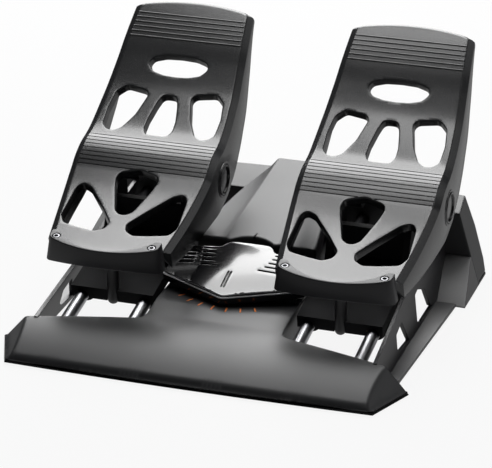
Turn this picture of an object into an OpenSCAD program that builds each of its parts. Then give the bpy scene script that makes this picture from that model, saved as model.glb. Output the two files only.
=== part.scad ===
// Flight rudder pedals: two foot pedals on carriages that slide on inclined
// rails and turn a centre rocker, with a toe brake tilt on each pedal.
// X is to the right, Y goes away from the pilot's heels, Z is up.

/* [Pedals] */
// Distance between the centre lines of the two pedals
pedal_spacing = 215; // [210:1:250]
// Half width of a pedal at its pivot
pedal_half_w = 68.5; // [64:0.5:70]
// Front to back run of the pedal face, measured level
face_run = 280; // [265:1:300]
// Rise of the pedal face from heel to toe
face_rise = 157; // [150:1:170]
// Distance from the front of the sill to the heel end of the face
heel_y = 72; // [70:0.5:76]
// Height of the heel end of the face
heel_z = 72; // [71:0.5:80]
// Thickness of the pedal face plate
plate_t = 8; // [5:0.5:10]
// Thickness of the pedal side walls
skirt_t = 3; // [2:0.25:4]
// Size of the slanted edge between face and side wall
edge_bevel = 4.5; // [2:0.5:6]
// Number of grip grooves near the toe
toe_grooves = 6; // [3:1:7]
// Number of grip grooves on the middle band
band_grooves = 9; // [4:1:10]
// Width of a grip groove
groove_w = 2.2; // [1:0.1:3]
// Depth of a grip groove
groove_depth = 1.2; // [0.5:0.1:2]

/* [Heel cups] */
// Half width of the heel cup
cup_half_w = 56; // [50:0.5:57]
// Radius of the curved front of the heel cup
cup_front_r = 106; // [90:1:140]
// Corner radius of the heel cup
cup_corner_r = 10; // [6:0.5:14]
// Wall thickness of the heel cup
cup_wall = 3; // [2:0.25:4]
// Height of the underside of the heel cup
cup_base_z = 62.5; // [60:0.5:66]
// Thickness of the raised lip above the face
lip_h = 7; // [4:0.5:9]
// Distance between the two heel screws of one pedal
heel_screw_spacing = 90.8; // [84:0.2:94]
// Diameter of the heel screw heads
heel_screw_head_d = 6.6; // [5:0.1:7]
// Diameter of the heel screw shanks
heel_screw_d = 3; // [2:0.1:3.5]

/* [Pivots] */
// Distance of the toe pivot from the front of the sill
pivot_y = 226.7; // [222:0.1:230]
// Height of the toe pivot
pivot_z = 102.2; // [98:0.1:106]
// Diameter of the toe pivot axle
axle_d = 10; // [8:0.5:12]
// Diameter of the round pivot caps
cap_d = 29; // [24:0.5:31]
// Thickness of the round pivot caps
cap_t = 3; // [2:0.25:3.5]

/* [Rails and carriages] */
// Diameter of the guide rails
rail_d = 12; // [10:0.5:13]
// Distance between the two rails of one pedal
rail_spacing = 60; // [56:1:62]
// Upward tilt of the rails toward the rear, in degrees
rail_tilt = 10; // [8:0.5:11]
// Travel of a carriage each way along its rails
carriage_travel = 30; // [20:1:32]
// Half width of a carriage
carriage_half_w = 39.5; // [38.5:0.25:40]
// Length of a carriage along the rails
carriage_len = 143; // [130:1:145]
// Height of a carriage above the plane of the rail axes
carriage_h = 11; // [10:0.25:11.3]
// Diameter of the heel post
post_d = 10.8; // [8:0.2:12]

/* [Base] */
// Distance from an outer rail to the side of the rear housing at the floor
housing_overhang = 53.6; // [50:0.2:62]
// Width of the front sill along its front edge
sill_w = 338; // [330:1:350]
// Distance from the sill front to the front wall of the rear housing
rear_wall_y = 290; // [288:1:300]
// Distance from the sill front to the rearmost point of the housing
housing_back_y = 336; // [328:1:345]
// Height of the front top edge of the rear housing
housing_front_h = 70; // [66:1:74]
// Height of the rear top edge of the rear housing
housing_back_h = 81; // [78:1:86]
// Distance from the side of the centre deck to the axis of the nearest rail
deck_rail_distance = 13.5; // [12:0.25:18]
// Height of the centre deck
deck_h = 26.5; // [25:0.25:27.5]
// Wall thickness of the base mouldings
wall = 3; // [2:0.25:4]
// Thickness of the base pan
pan_t = 2; // [1:0.25:3]

/* [Rocker] */
// Distance of the rocker axis from the front of the sill
rocker_y = 168.8; // [164:0.2:172]
// Distance from the rocker axis to each link pin
link_radius = 72; // [71.5:0.1:74]
// Thickness of the rocker arm
arm_t = 4; // [3:0.25:4.5]
// Diameter of the rocker axle
rocker_axle_d = 12; // [10:0.5:14]
// Diameter of the link pins
link_pin_d = 6; // [5:0.25:7]

/* [Scale] */
// Number of scale ticks on the deck
tick_count = 7; // [3:2:9]
// Angle between scale ticks, in degrees
tick_angle = 11.5; // [8:0.5:12]

/* [Hidden] */
// Running clearance on radii of shafts and bushes
run_fit = 0.05;
// Gap between parts of different bodies
gap = 0.3;
// Overrun of cutting tools past the solid they cut
over = 1;
// A size larger than the whole object
big = 600;

// colours
black = [0.13, 0.13, 0.14];
gloss = [0.06, 0.06, 0.07];
steel = [0.75, 0.76, 0.78];
orange = [0.86, 0.42, 0.16];
rubber = [0.08, 0.08, 0.08];
board_green = [0.05, 0.3, 0.15];
brass = [0.7, 0.6, 0.35];

front_y = -3;
face_end_y = heel_y + face_run;
half_spacing = pedal_spacing / 2;
deck_half_w = half_spacing - rail_spacing / 2 - deck_rail_distance;
base_w = 2 * (half_spacing + rail_spacing / 2 + housing_overhang);

// rail plane: passes through this point at the rail tilt
rail_ref_y = 80;
rail_ref_z = 15;
function rail_u(y, z) = (y - rail_ref_y) * cos(rail_tilt) + (z - rail_ref_z) * sin(rail_tilt);
function rail_w(y, z) = (z - rail_ref_z) * cos(rail_tilt) - (y - rail_ref_y) * sin(rail_tilt);
function rail_z_at(y) = rail_ref_z + (y - rail_ref_y) * tan(rail_tilt);
rail_r = rail_d / 2;
rail_front_y = 44;
rail_seat = 12;
rail_back_y = rear_wall_y + rail_seat;
rail_start = rail_u(rail_front_y, rail_z_at(rail_front_y));
rail_end = rail_u(rail_back_y, rail_z_at(rail_back_y));
bush_wall = 1.5;
bush_len = 18;
bush_r = rail_r + bush_wall;
housing_wall = 2.5;
bush_housing_r = bush_r + housing_wall;

// carriage places along and above the rails
carriage_front_y = 111;
carriage_start = (carriage_front_y - rail_ref_y) / cos(rail_tilt);
carriage_end = carriage_start + carriage_len;
carriage_floor = -1;
bush_inset = 8;
front_bush_u = carriage_start + bush_inset;
back_bush_u = carriage_end - bush_inset - bush_len;
pivot_u = rail_u(pivot_y, pivot_z);
pivot_w = rail_w(pivot_y, pivot_z);
upright_t = 6;
upright_x = 36;
upright_base_front = 46;
upright_base_back = 12;
axle_r = axle_d / 2;
upright_wall = 7;
upright_head_r = axle_r + upright_wall;
upright_collar_r = upright_head_r - 2;
upright_web_back_share = 0.9;
upright_web_up_share = 0.4;
stop_h = 18;
brace_h = 32;
brace_u = pivot_u - upright_base_front / 2;
post_y = 113;
post_r = post_d / 2;
post_base_z = 22;

// rocker places
rocker_u = rail_u(rocker_y, rail_z_at(rocker_y));
arm_lift = 1;
arm_floor = carriage_h + arm_lift;
arm_top = arm_floor + arm_t;
arm_half_w = 9;
link_pin_r = link_pin_d / 2;
link_play = 0.9;
link_slot_r = link_pin_r + link_play;
link_reach = norm([link_radius, carriage_travel]) - link_radius + link_play;
arm_end_wall = 3;
arm_reach = link_radius + link_reach + link_slot_r + arm_end_wall;
link_pin_foot_share = 0.75;
link_pin_foot = carriage_h * link_pin_foot_share;
rocker_axle_r = rocker_axle_d / 2;
rocker_bush_wall = 2;
rocker_bush_r = rocker_axle_r + rocker_bush_wall;
hub_r = 28;
hub_gap = 3;

// shield cover
shield_floor = arm_top;
shield_rim_t = 3.5;
shield_rim_w = arm_top + shield_rim_t;
shield_crown = 3.5;
shield_nose_y = 110;
shield_tip_half_w = 68;
shield_back_half_w = 60;
shield_sweep = 19.7;
shield_back = 10;
shield_skirt_floor = carriage_h + gap;
shield_skirt_t = 2.5;
shield_arm_gap = 0.6;
trim_t = 0.8;
trim_h = 1.2;
vent_count = 6;
vent_pitch = 6;
vent_w = 1.6;
vent_half = 6;
vent_grow = 1.6;
shroud_vent_place_share = 0.72;
shroud_vent_first_share = 0.7;
trim_back_share = 0.42;
pointer_gap = 0.9;
pointer_w = 0.9;
pointer_start = 6;
pointer_end = 22;
pointer_depth = 0.5;
shield_corner_r = 7;

// face line of the pedal, as shares of its run and rise
face_shares = [[0.03, 0.021], [0.1, 0.054], [0.225, 0.13], [0.332, 0.21], [0.42, 0.29], [0.479, 0.3475],
  [0.54, 0.3955], [0.586, 0.426], [0.636, 0.475], [0.69, 0.537], [0.743, 0.604], [0.814, 0.715],
  [0.877, 0.822], [0.946, 0.927], [1, 1]];
// half width of the pedal at those places, as shares of the half width at the pivot
width_shares = [0.8, 0.85, 0.92, 0.97, 1, 1, 1, 0.993, 0.985, 0.972, 0.955, 0.925, 0.9, 0.872, 0.85];
// depth of the side walls at those places, as shares of the deepest one
depth_shares = [0.26, 0.34, 0.53, 0.7, 0.87, 0.93, 0.93, 0.88, 0.8, 0.72, 0.63, 0.48, 0.34, 0.2, 0.15];
skirt_depth = 58;
steps = 3;
function clampi(i, n) = max(0, min(n - 1, i));
function spline(p, i, t) = let (n = len(p), a = p[clampi(i - 1, n)], b = p[i], c = p[clampi(i + 1, n)],
  d = p[clampi(i + 2, n)]) 0.5 * ((2 * b) + (c - a) * t + (2 * a - 5 * b + 4 * c - d) * t * t
  + (3 * b - 3 * c + d - a) * t * t * t);
function smooth(p) = concat([for (i = [0 : len(p) - 2]) for (k = [0 : steps - 1]) spline(p, i, k / steps)],
  [p[len(p) - 1]]);
face_line = [for (s = smooth(face_shares)) [heel_y + s[0] * face_run, heel_z + s[1] * face_rise]];
half_line = [for (s = smooth(width_shares)) s * pedal_half_w];
depth_line = [for (s = smooth(depth_shares)) s * skirt_depth];
last = len(face_line) - 1;
function tangent(i) = let (d = face_line[min(last, i + 1)] - face_line[max(0, i - 1)]) d / norm(d);
function into(i, d) = face_line[i] + [tangent(i)[1], -tangent(i)[0]] * d;
function face_at(y) = lookup(y, face_line);
toe_trim = 0.5;
toe_dir = tangent(last);
toe_turn = atan2(toe_dir[1], toe_dir[0]);

// frame: the file's origin is the floor point under the middle of the box
mid_y = (front_y + face_end_y - toe_trim * toe_dir[0] + plate_t * toe_dir[1]) / 2;
function slope_at(y) = let (e = face_run / 40) atan2(face_at(y + e) - face_at(y - e), 2 * e);

// cut-outs in the face, as shares of the half width and of the run
eye_shares = [[-0.435, 0.804], [-0.385, 0.821], [-0.22, 0.83], [0, 0.832], [0.22, 0.83], [0.385, 0.821],
  [0.435, 0.804], [0.34, 0.784], [0.18, 0.776], [0, 0.774], [-0.18, 0.776], [-0.34, 0.784]];
upper_side_shares = [[0.31, 0.712], [0.36, 0.726], [0.65, 0.735], [0.77, 0.711], [0.81, 0.654],
  [0.8, 0.593], [0.73, 0.575], [0.63, 0.568], [0.525, 0.586], [0.4, 0.64]];
upper_mid_shares = [[-0.1, 0.716], [0.1, 0.716], [0.15, 0.68], [0.195, 0.63], [0.2, 0.593], [0.15, 0.566],
  [-0.15, 0.566], [-0.2, 0.593], [-0.195, 0.63], [-0.15, 0.68]];
lower_mid_shares = [[-0.27, 0.405], [0, 0.42], [0.27, 0.405], [0.295, 0.382], [0.25, 0.343], [0.12, 0.254],
  [0.045, 0.239], [-0.045, 0.239], [-0.12, 0.254], [-0.25, 0.343], [-0.295, 0.382]];
lower_side_shares = [[0.72, 0.35], [0.785, 0.325], [0.81, 0.207], [0.74, 0.175], [0.47, 0.161],
  [0.27, 0.154], [0.15, 0.171], [0.12, 0.2], [0.32, 0.264], [0.58, 0.335]];
eye_place_share = 0.81;
upper_place_share = 0.65;
lower_mid_place_share = 0.33;
lower_side_place_share = 0.26;
window_corner_r = 4;
band_crown = 2.6;
toe_groove_y = 337;
toe_groove_end_y = 317.5;
band_groove_y = 223.3;
band_groove_end_y = 189.6;
toe_arch = 8;
toe_half_share = 0.85;
toe_arch_half = pedal_half_w * toe_half_share;
toe_arch_r = (toe_arch_half * toe_arch_half + toe_arch * toe_arch) / (2 * toe_arch);

// outline with rounded corners, worked out point by point
arc_steps = 4;
function unit(v) = v / norm(v);
side_limit_share = 0.45;
function corner(a, b, c, r) = let (u = unit(a - b), v = unit(c - b), h = acos(u * v) / 2,
  t = min(r / tan(h), norm(a - b) * side_limit_share, norm(c - b) * side_limit_share), q = t * tan(h),
  m = b + unit(u + v) * (q / sin(h)), p0 = b + u * t - m, p1 = b + v * t - m)
  [for (k = [0 : arc_steps]) m + unit(p0 * (1 - k / arc_steps) + p1 * (k / arc_steps)) * q];
function rounded(p, r) = let (n = len(p))
  [for (i = [0 : n - 1]) each corner(p[(i + n - 1) % n], p[i], p[(i + 1) % n], r)];

// heel cup plan
cup_front_y = 75;
cup_centre_y = cup_front_y + cup_front_r;
cup_corner_x = cup_half_w - cup_corner_r;
cup_corner_y = cup_centre_y - sqrt(pow(cup_front_r - cup_corner_r, 2) - pow(cup_corner_x, 2));
quarter = 90;
cup_turn = asin(cup_corner_x / (cup_front_r - cup_corner_r));
cup_back_y = 101;
cup_steps = 6;
front_steps = 16;
function ring_point(c, r, a) = c + [r * cos(a), r * sin(a)];
function cup_plan(inset, back) = concat(
  [[-cup_half_w + inset, back]],
  [for (k = [0 : cup_steps]) ring_point([-cup_corner_x, cup_corner_y], cup_corner_r - inset,
    2 * quarter + (quarter - cup_turn) * k / cup_steps)],
  [for (k = [1 : front_steps - 1]) ring_point([0, cup_centre_y], cup_front_r - inset,
    3 * quarter - cup_turn + 2 * cup_turn * k / front_steps)],
  [for (k = [0 : cup_steps]) ring_point([cup_corner_x, cup_corner_y], cup_corner_r - inset,
    3 * quarter + cup_turn + (quarter - cup_turn) * k / cup_steps)],
  [[cup_half_w - inset, back]]);
cup_scoop_r = 57;
cup_h = 60;
lip_seat = 0.5;
cup_scoop_y = 80.5;
heel_ref_y = 90;
heel_slope = slope_at(heel_ref_y);
post_top_z = face_at(post_y) - plate_t / cos(slope_at(post_y)) - post_r * tan(slope_at(post_y)) - gap;
heel_screw_y = 91.3;
heel_screw_len = 10;
heel_head_h = 2.2;
heel_recess = 1.4;

// pivot hub of a pedal
cap_stand = 0.8;
collar_wall = 2.2;
pivot_bush_wall = 3;
pivot_bush_stand = 5;
axle_end_gap = 0.6;
hub_out = pedal_half_w + cap_stand;
hub_in = 55;
pivot_hub_r = cap_d / 2 + collar_wall;
pivot_bush_r = axle_r + pivot_bush_wall;
pivot_bush_in = hub_in - pivot_bush_stand;
axle_half = hub_out - cap_t - axle_end_gap;

// base mouldings
sill_bow = 3;
sill_bow_r = (pow(sill_w / 2, 2) + sill_bow * sill_bow) / (2 * sill_bow);
lip_y = 4;
lip_z = 6.4;
deck_front_y = 72;
sill_tip_half_w = 167.5;
sill_top_r = 122;
sill_end_turn = 21.9;
sill_end_lean = 38.8;
sill_side_y = 48;
sill_tuck = wall * (deck_front_y - sill_side_y) / (sill_tip_half_w - deck_half_w);
side_lean_share = 0.2935;
side_lean = atan(side_lean_share);
back_bow = 14;
back_lip = 8;
back_foot = 5;
back_shoulder = 4;
back_low_z = 14;
back_high_z = 46;
back_shoulder_z = 64;
back_bow_r = (pow(base_w / 2, 2) + back_bow * back_bow) / (2 * back_bow);
web_lean_share = 0.2;
web_lean = atan(web_lean_share);
web_foot_half_w = 164;
web_t = 3.6;
web_front_h = 26;
web_back_h = 66;
flange_t = 3;
flange_front_half_w = 173.8;
flange_back_half_w = 182.4;
ramp_front_y = 236;
ramp_h = 28;
window_a_shares = [[0.591, 0.52], [0.676, 0.395], [0.708, 0.1], [0.735, 0.07], [0.563, 0.07], [0.523, 0.15],
  [0.552, 0.5]];
window_b_shares = [[0.265, 0.37], [0.349, 0.43], [0.387, 0.15], [0.4, 0.08], [0.275, 0.12], [0.247, 0.19]];
window_scale_z = 66;
window_front_y = 48;
window_run = 242;
window_fillet = 2;

// spine cover
spine_front_y = 196;
spine_front_h = 64.4;
spine_rise_share = 0.19;
spine_back_y = housing_back_y - back_lip;
spine_top_half_front = 26;
spine_shoulder_drop = 6;
spine_side_half_front = 52.5;
spine_side_half_back = 33;
spine_shoulder_half_front = 40;
spine_shoulder_half_back = 27;
notch_w = 2.4;
notch_len = 7;
spine_top_taper_share = 0.66;
spine_top_lean = 66;
spine_side_lean = 50;
spine_corner_cut_r = 64;
spine_corner_cut_x = 34;
shroud_front_y = 132;
shroud_half_w = 60;

// small parts
screw_inset = 14;
screw_x = deck_half_w - screw_inset;
screw_front_y = 56;
screw_back_y = 262;
screw_len = 10;
rear_screw_x = 120;
rear_screw_y = 316;
boss_r = 5;
board_half = 30;
board_y = 212;
board_len = 40;
board_t = 1.6;
board_lift = 5;
board_z = pan_t + board_lift;
board_inset = 3;
chip_half = 5;
chip_h = 3;
foot_front_x = 140;
foot_back_x = 150;
foot_front_y = 28;
foot_back_y = 306;
gland_x = 0;
gland_z = 30;
gland_flange = 2;
axle_foot_w = -10;
washer_t = 1.5;
magnet_t = 2;
spring_wall = 5;
spring_floor = 4;
tick_r = 62;
tick_len = 6;
tick_w = 1;
tick_h = 0.3;
tick_turn = -8.5;
foot_r = 9;
foot_h = 1.5;
screw_r = 2;
screw_head_r = 3.6;
screw_head_t = 1.2;
gland_r = 5;
cable_hole_r = 2.2;

$fn = 96;

// placing helpers
module placed() translate([0, -mid_y, foot_h]) children();
module rail_frame() translate([0, rail_ref_y, rail_ref_z]) rotate([rail_tilt, 0, 0]) children();
module on_rails() placed() rail_frame() children();
module at_rocker() on_rails() translate([0, rocker_u, 0]) children();
module side(s) placed() translate([s * half_spacing, 0, 0]) children();
module side_rails(s) on_rails() translate([s * half_spacing, 0, 0]) children();
module along_x(len) rotate([90, 0, 90]) translate([0, 0, -len / 2]) linear_extrude(len) children();
module rod_x(r, x0, x1) translate([x0, 0, 0]) rotate([0, 90, 0]) cylinder(r = r, h = x1 - x0);
module rod_y(r, y0, y1) translate([0, y0, 0]) rotate([-90, 0, 0]) cylinder(r = r, h = y1 - y0);
module block(x0, x1, y0, y1, z0, z1) translate([x0, y0, z0]) cube([x1 - x0, y1 - y0, z1 - z0]);
module both() { children(); mirror([1, 0, 0]) children(); }
module rail_bores(r) for (s = [-1, 1], t = [-1, 1]) rail_frame()
  translate([s * half_spacing + t * rail_spacing / 2, 0, 0]) rod_y(r, rail_start, rail_end);

// pedal
ring_n = 10;
function ring(i) = let (w = half_line[i], b = edge_bevel, d = max(depth_line[i], plate_t + over),
  p = face_line[i], pb = into(i, b), pd = into(i, d), pt = into(i, plate_t), v = w - skirt_t)
  [[w, pd[0], pd[1]], [w, pb[0], pb[1]], [w - b, p[0], p[1]], [b - w, p[0], p[1]], [-w, pb[0], pb[1]],
   [-w, pd[0], pd[1]], [-v, pd[0], pd[1]], [-v, pt[0], pt[1]], [v, pt[0], pt[1]], [v, pd[0], pd[1]]];
skin_points = [for (i = [0 : last]) each ring(i)];
cap_faces = [[0, 9, 1], [1, 9, 8], [1, 8, 2], [2, 8, 3], [3, 8, 7], [3, 7, 4], [4, 6, 5], [4, 7, 6]];
skin_faces = concat(
  [for (i = [0 : last - 1], k = [0 : ring_n - 1])
    let (a = i * ring_n + k, b = i * ring_n + (k + 1) % ring_n)
    each [[a, b, a + ring_n], [b, b + ring_n, a + ring_n]]],
  cap_faces,
  [for (f = cap_faces) [for (k = [f[0], f[2], f[1]]) last * ring_n + k]]);

module window(shares, y_ref, m) {
  a = slope_at(y_ref);
  pts = [for (p = shares) [m * p[0] * pedal_half_w, (heel_y + p[1] * face_run - y_ref) / cos(a)]];
  translate([0, y_ref, face_at(y_ref)]) rotate([a, 0, 0]) translate([0, 0, -3 * plate_t])
    linear_extrude(5 * plate_t) polygon(rounded(pts, window_corner_r));
}

module groove(w) block(-w, w, -groove_w / 2, groove_w / 2, -groove_depth, over);
module toe_grip() for (k = [0 : toe_grooves - 1]) {
  y = toe_groove_y + (toe_groove_end_y - toe_groove_y) * k / (toe_grooves - 1);
  translate([0, y, face_at(y)]) rotate([slope_at(y), 0, 0])
    groove(lookup(y, [for (i = [0 : last]) [face_line[i][0], half_line[i]]]) - edge_bevel);
}

// middle band: a shallow roll across the plate, grooved along its arc
band_front = [band_groove_end_y, face_at(band_groove_end_y)];
band_back = [band_groove_y, face_at(band_groove_y)];
band_mid = (band_front + band_back) / 2;
band_half = norm(band_back - band_front) / 2;
band_roll_r = (band_half * band_half + band_crown * band_crown) / (2 * band_crown);
band_slope = atan2(band_back[1] - band_front[1], band_back[0] - band_front[0]);
band_reach = asin(band_half / band_roll_r);
band_half_w = pedal_half_w - edge_bevel;
module at_band() translate([0, band_mid[0], band_mid[1]]) rotate([band_slope, 0, 0]) children();
module band_roll() at_band() intersection() {
  translate([0, 0, band_crown - band_roll_r]) rod_x(band_roll_r, -band_half_w, band_half_w);
  block(-band_half_w, band_half_w, -band_half, band_half, -plate_t / 2, 2 * band_crown);
}
module band_grip() at_band() translate([0, 0, band_crown - band_roll_r]) for (k = [0 : band_grooves - 1])
  rotate([band_reach * (2 * k / (band_grooves - 1) - 1), 0, 0]) translate([0, 0, band_roll_r])
    groove(band_half_w + over);

module pedal_plate(s) color(black) side(s) {
  difference() {
    union() {
      intersection() {
        polyhedron(skin_points, skin_faces);
        translate([0, face_end_y, heel_z + face_rise]) rotate([toe_turn, 0, 0])
          translate([0, -toe_arch_r - toe_trim, -big / 2]) cylinder(r = toe_arch_r, h = big, $fn = 240);
      }
      band_roll();
      translate([0, pivot_y, pivot_z]) both() rod_x(pivot_hub_r, hub_in, hub_out);
    }
    window(eye_shares, heel_y + eye_place_share * face_run, 1);
    for (m = [-1, 1]) window(upper_side_shares, heel_y + upper_place_share * face_run, m);
    window(upper_mid_shares, heel_y + upper_place_share * face_run, 1);
    window(lower_mid_shares, heel_y + lower_mid_place_share * face_run, 1);
    for (m = [-1, 1]) window(lower_side_shares, heel_y + lower_side_place_share * face_run, m);
    toe_grip();
    band_grip();
    translate([0, pivot_y, pivot_z]) both() {
      rod_x(pivot_bush_r, hub_in - over, axle_half);
      rod_x(axle_r + gap, hub_in - over, hub_out + over);
      rod_x(cap_d / 2, hub_out - cap_t, hub_out + over);
    }
    difference() {
      block(-big, big, heel_y - big, cup_back_y, 0, big);
      translate([0, 0, -over]) linear_extrude(big) polygon(cup_plan(cup_wall, cup_back_y + over));
    }
    for (m = [-1, 1])
      translate([m * heel_screw_spacing / 2, heel_screw_y, lip_screw_z - heel_screw_len - over])
        cylinder(r = heel_screw_d / 2 + run_fit, h = big / 4);
  }
}

module lip_top() translate([0, heel_ref_y, face_at(heel_ref_y) + lip_h]) rotate([heel_slope, 0, 0])
  block(-big, big, -big, big, 0, big);
module face_under() translate([0, heel_ref_y, face_at(heel_ref_y)]) rotate([heel_slope, 0, 0])
  block(-big, big, -big, big, -big, lip_seat);

module heel_cup(s) color(black) side(s) difference() {
  union() {
    difference() {
      translate([0, 0, cup_base_z]) linear_extrude(cup_h) polygon(cup_plan(0, cup_back_y));
      translate([0, 0, cup_base_z - over]) linear_extrude(big) polygon(cup_plan(cup_wall, cup_back_y + over));
    }
    difference() {
      translate([0, 0, cup_base_z]) linear_extrude(cup_h) polygon(cup_plan(cup_wall - gap, cup_back_y));
      translate([0, cup_scoop_y + cup_scoop_r, 0]) cylinder(r = cup_scoop_r, h = big);
      face_under();
    }
  }
  lip_top();
  for (m = [-1, 1]) translate([m * heel_screw_spacing / 2, heel_screw_y, 0]) {
    cylinder(r = heel_screw_d / 2 + run_fit, h = big);
    translate([0, 0, lip_screw_z]) cylinder(r = heel_screw_head_d / 2 + gap, h = big);
  }
}
lip_screw_z = face_at(heel_ref_y) + lip_h - heel_head_h - heel_recess;

module heel_screws(s) color(steel) side(s) for (m = [-1, 1])
  translate([m * heel_screw_spacing / 2, heel_screw_y, 0]) difference() {
    union() {
      translate([0, 0, lip_screw_z]) cylinder(r = heel_screw_head_d / 2, h = heel_head_h);
      translate([0, 0, lip_screw_z - heel_screw_len]) cylinder(r = heel_screw_d / 2, h = heel_screw_len);
    }
    translate([0, 0, lip_screw_z + heel_head_h / 3])
      cylinder(r = heel_screw_head_d / 4, h = heel_head_h, $fn = 6);
  }

module pivot_bushes(s) color(brass) side(s) translate([0, pivot_y, pivot_z]) both() difference() {
  rod_x(pivot_bush_r, pivot_bush_in, axle_half);
  rod_x(axle_r + run_fit, pivot_bush_in - over, axle_half + over);
}

module pivot_caps(s) color(black) side(s) translate([0, pivot_y, pivot_z]) both() difference() {
  rod_x(cap_d / 2, hub_out - cap_t, hub_out);
  difference() {
    rod_x(cap_d / 2 - cap_t / 2, hub_out - cap_t / 6, hub_out + over);
    rod_x(cap_d / 2 - cap_t, hub_out - cap_t, hub_out + 2 * over);
  }
}

// carriage
module upright_outline() {
  polygon([[pivot_u - upright_base_front, carriage_h - over], [pivot_u + upright_base_back, carriage_h - over],
    [pivot_u + upright_head_r, pivot_w],
    [pivot_u - upright_head_r * upright_web_back_share, pivot_w + upright_head_r * upright_web_up_share]]);
  translate([pivot_u, pivot_w]) circle(r = upright_head_r);
}
module carriage(s) color(black) side_rails(s) difference() {
  union() {
    block(-carriage_half_w, carriage_half_w, carriage_start, carriage_end, carriage_floor, carriage_h);
    for (t = [-1, 1], u = [front_bush_u, back_bush_u]) translate([t * rail_spacing / 2, 0, 0])
      intersection() {
        rod_y(bush_housing_r, u, u + bush_len);
        block(-big, big, -big, big, -big, carriage_floor + over);
      }
    both() translate([upright_x, 0, 0]) along_x(upright_t) upright_outline();
    translate([0, pivot_u, pivot_w]) both()
      rod_x(upright_collar_r, upright_x - upright_t, upright_x + upright_t);
    block(-upright_x, upright_x, brace_u, brace_u + upright_t, carriage_h - over, carriage_h + brace_h);
  }
  for (t = [-1, 1]) translate([t * rail_spacing / 2, 0, 0]) {
    rod_y(rail_r + gap * 2, -big, big);
    rod_y(bush_r, carriage_start + bush_wall, carriage_end - bush_wall);
  }
  translate([0, pivot_u, pivot_w]) rod_x(axle_r, -big, big);
  translate([s * (link_radius - half_spacing), rocker_u, 0]) cylinder(r = link_pin_r, h = big);
  post_bore();
  lightening();
}
module post_bore() rotate([-rail_tilt, 0, 0])
  translate([0, post_y - rail_ref_y, post_base_z - rail_ref_z - post_d]) cylinder(r = post_r, h = big);
module lightening() for (t = [-1, 1]) translate([t * rail_spacing / 5, 0, 0])
  block(-rail_spacing / 8, rail_spacing / 8, front_bush_u + bush_len, back_bush_u, carriage_floor - over,
    carriage_h - wall);

module rail_bushes(s) color(brass) side_rails(s) for (t = [-1, 1], u = [front_bush_u, back_bush_u])
  translate([t * rail_spacing / 2, 0, 0]) difference() {
    rod_y(bush_r, u, u + bush_len);
    rod_y(rail_r + run_fit, u - over, u + bush_len + over);
  }

module pivot_axle(s) color(steel) side(s) translate([0, pivot_y, pivot_z])
  rod_x(axle_r, -axle_half, axle_half);

module link_pin(s) color(steel) side_rails(s) translate([s * (link_radius - half_spacing), rocker_u, 0]) {
  translate([0, 0, link_pin_foot]) cylinder(r = link_pin_r, h = arm_top - link_pin_foot);
}

module heel_post(s) color(black) side(s) translate([0, post_y, 0]) {
  translate([0, 0, post_base_z]) cylinder(r = post_r, h = post_top_z - post_base_z);
  translate([0, 0, post_base_z]) sphere(r = post_r);
}

module toe_spring(s) color(steel) side(s) translate([0, pivot_y, pivot_z]) difference() {
  rod_x(axle_r + spring_wall, -upright_x + upright_t + gap, -upright_x / 3);
  rod_x(axle_r + gap, -upright_x, 0);
}

module toe_stop(s) color(rubber) side_rails(s) translate([0, brace_u + upright_t, carriage_h])
  block(-upright_x / 2, upright_x / 2, 0, upright_t, 0, stop_h);

module brake_sensor(s) color(black) side(s) translate([0, pivot_y, pivot_z]) difference() {
  rod_x(upright_collar_r, upright_x / 4, upright_x - upright_t - gap);
  rod_x(axle_r + run_fit, 0, upright_x);
}

// rocker
module arm_outline() {
  circle(r = hub_r - hub_gap);
  translate([-arm_reach, -arm_half_w]) square([2 * arm_reach, 2 * arm_half_w]);
}
module rocker_arm() color(black) at_rocker() translate([0, 0, arm_floor]) difference() {
  linear_extrude(arm_t) arm_outline();
  translate([0, 0, -over]) cylinder(r = rocker_bush_r, h = arm_t + 2 * over);
  both() {
    block(link_radius - link_play, link_radius + link_reach, -link_slot_r, link_slot_r, -over, arm_t + over);
    for (x = [link_radius - link_play, link_radius + link_reach]) translate([x, 0, -over])
      cylinder(r = link_slot_r, h = arm_t + 2 * over);
  }
}
module rocker_bush() color(brass) at_rocker() translate([0, 0, arm_floor]) difference() {
  cylinder(r = rocker_bush_r, h = arm_t);
  translate([0, 0, -over]) cylinder(r = rocker_axle_r + run_fit, h = arm_t + 2 * over);
}

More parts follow.
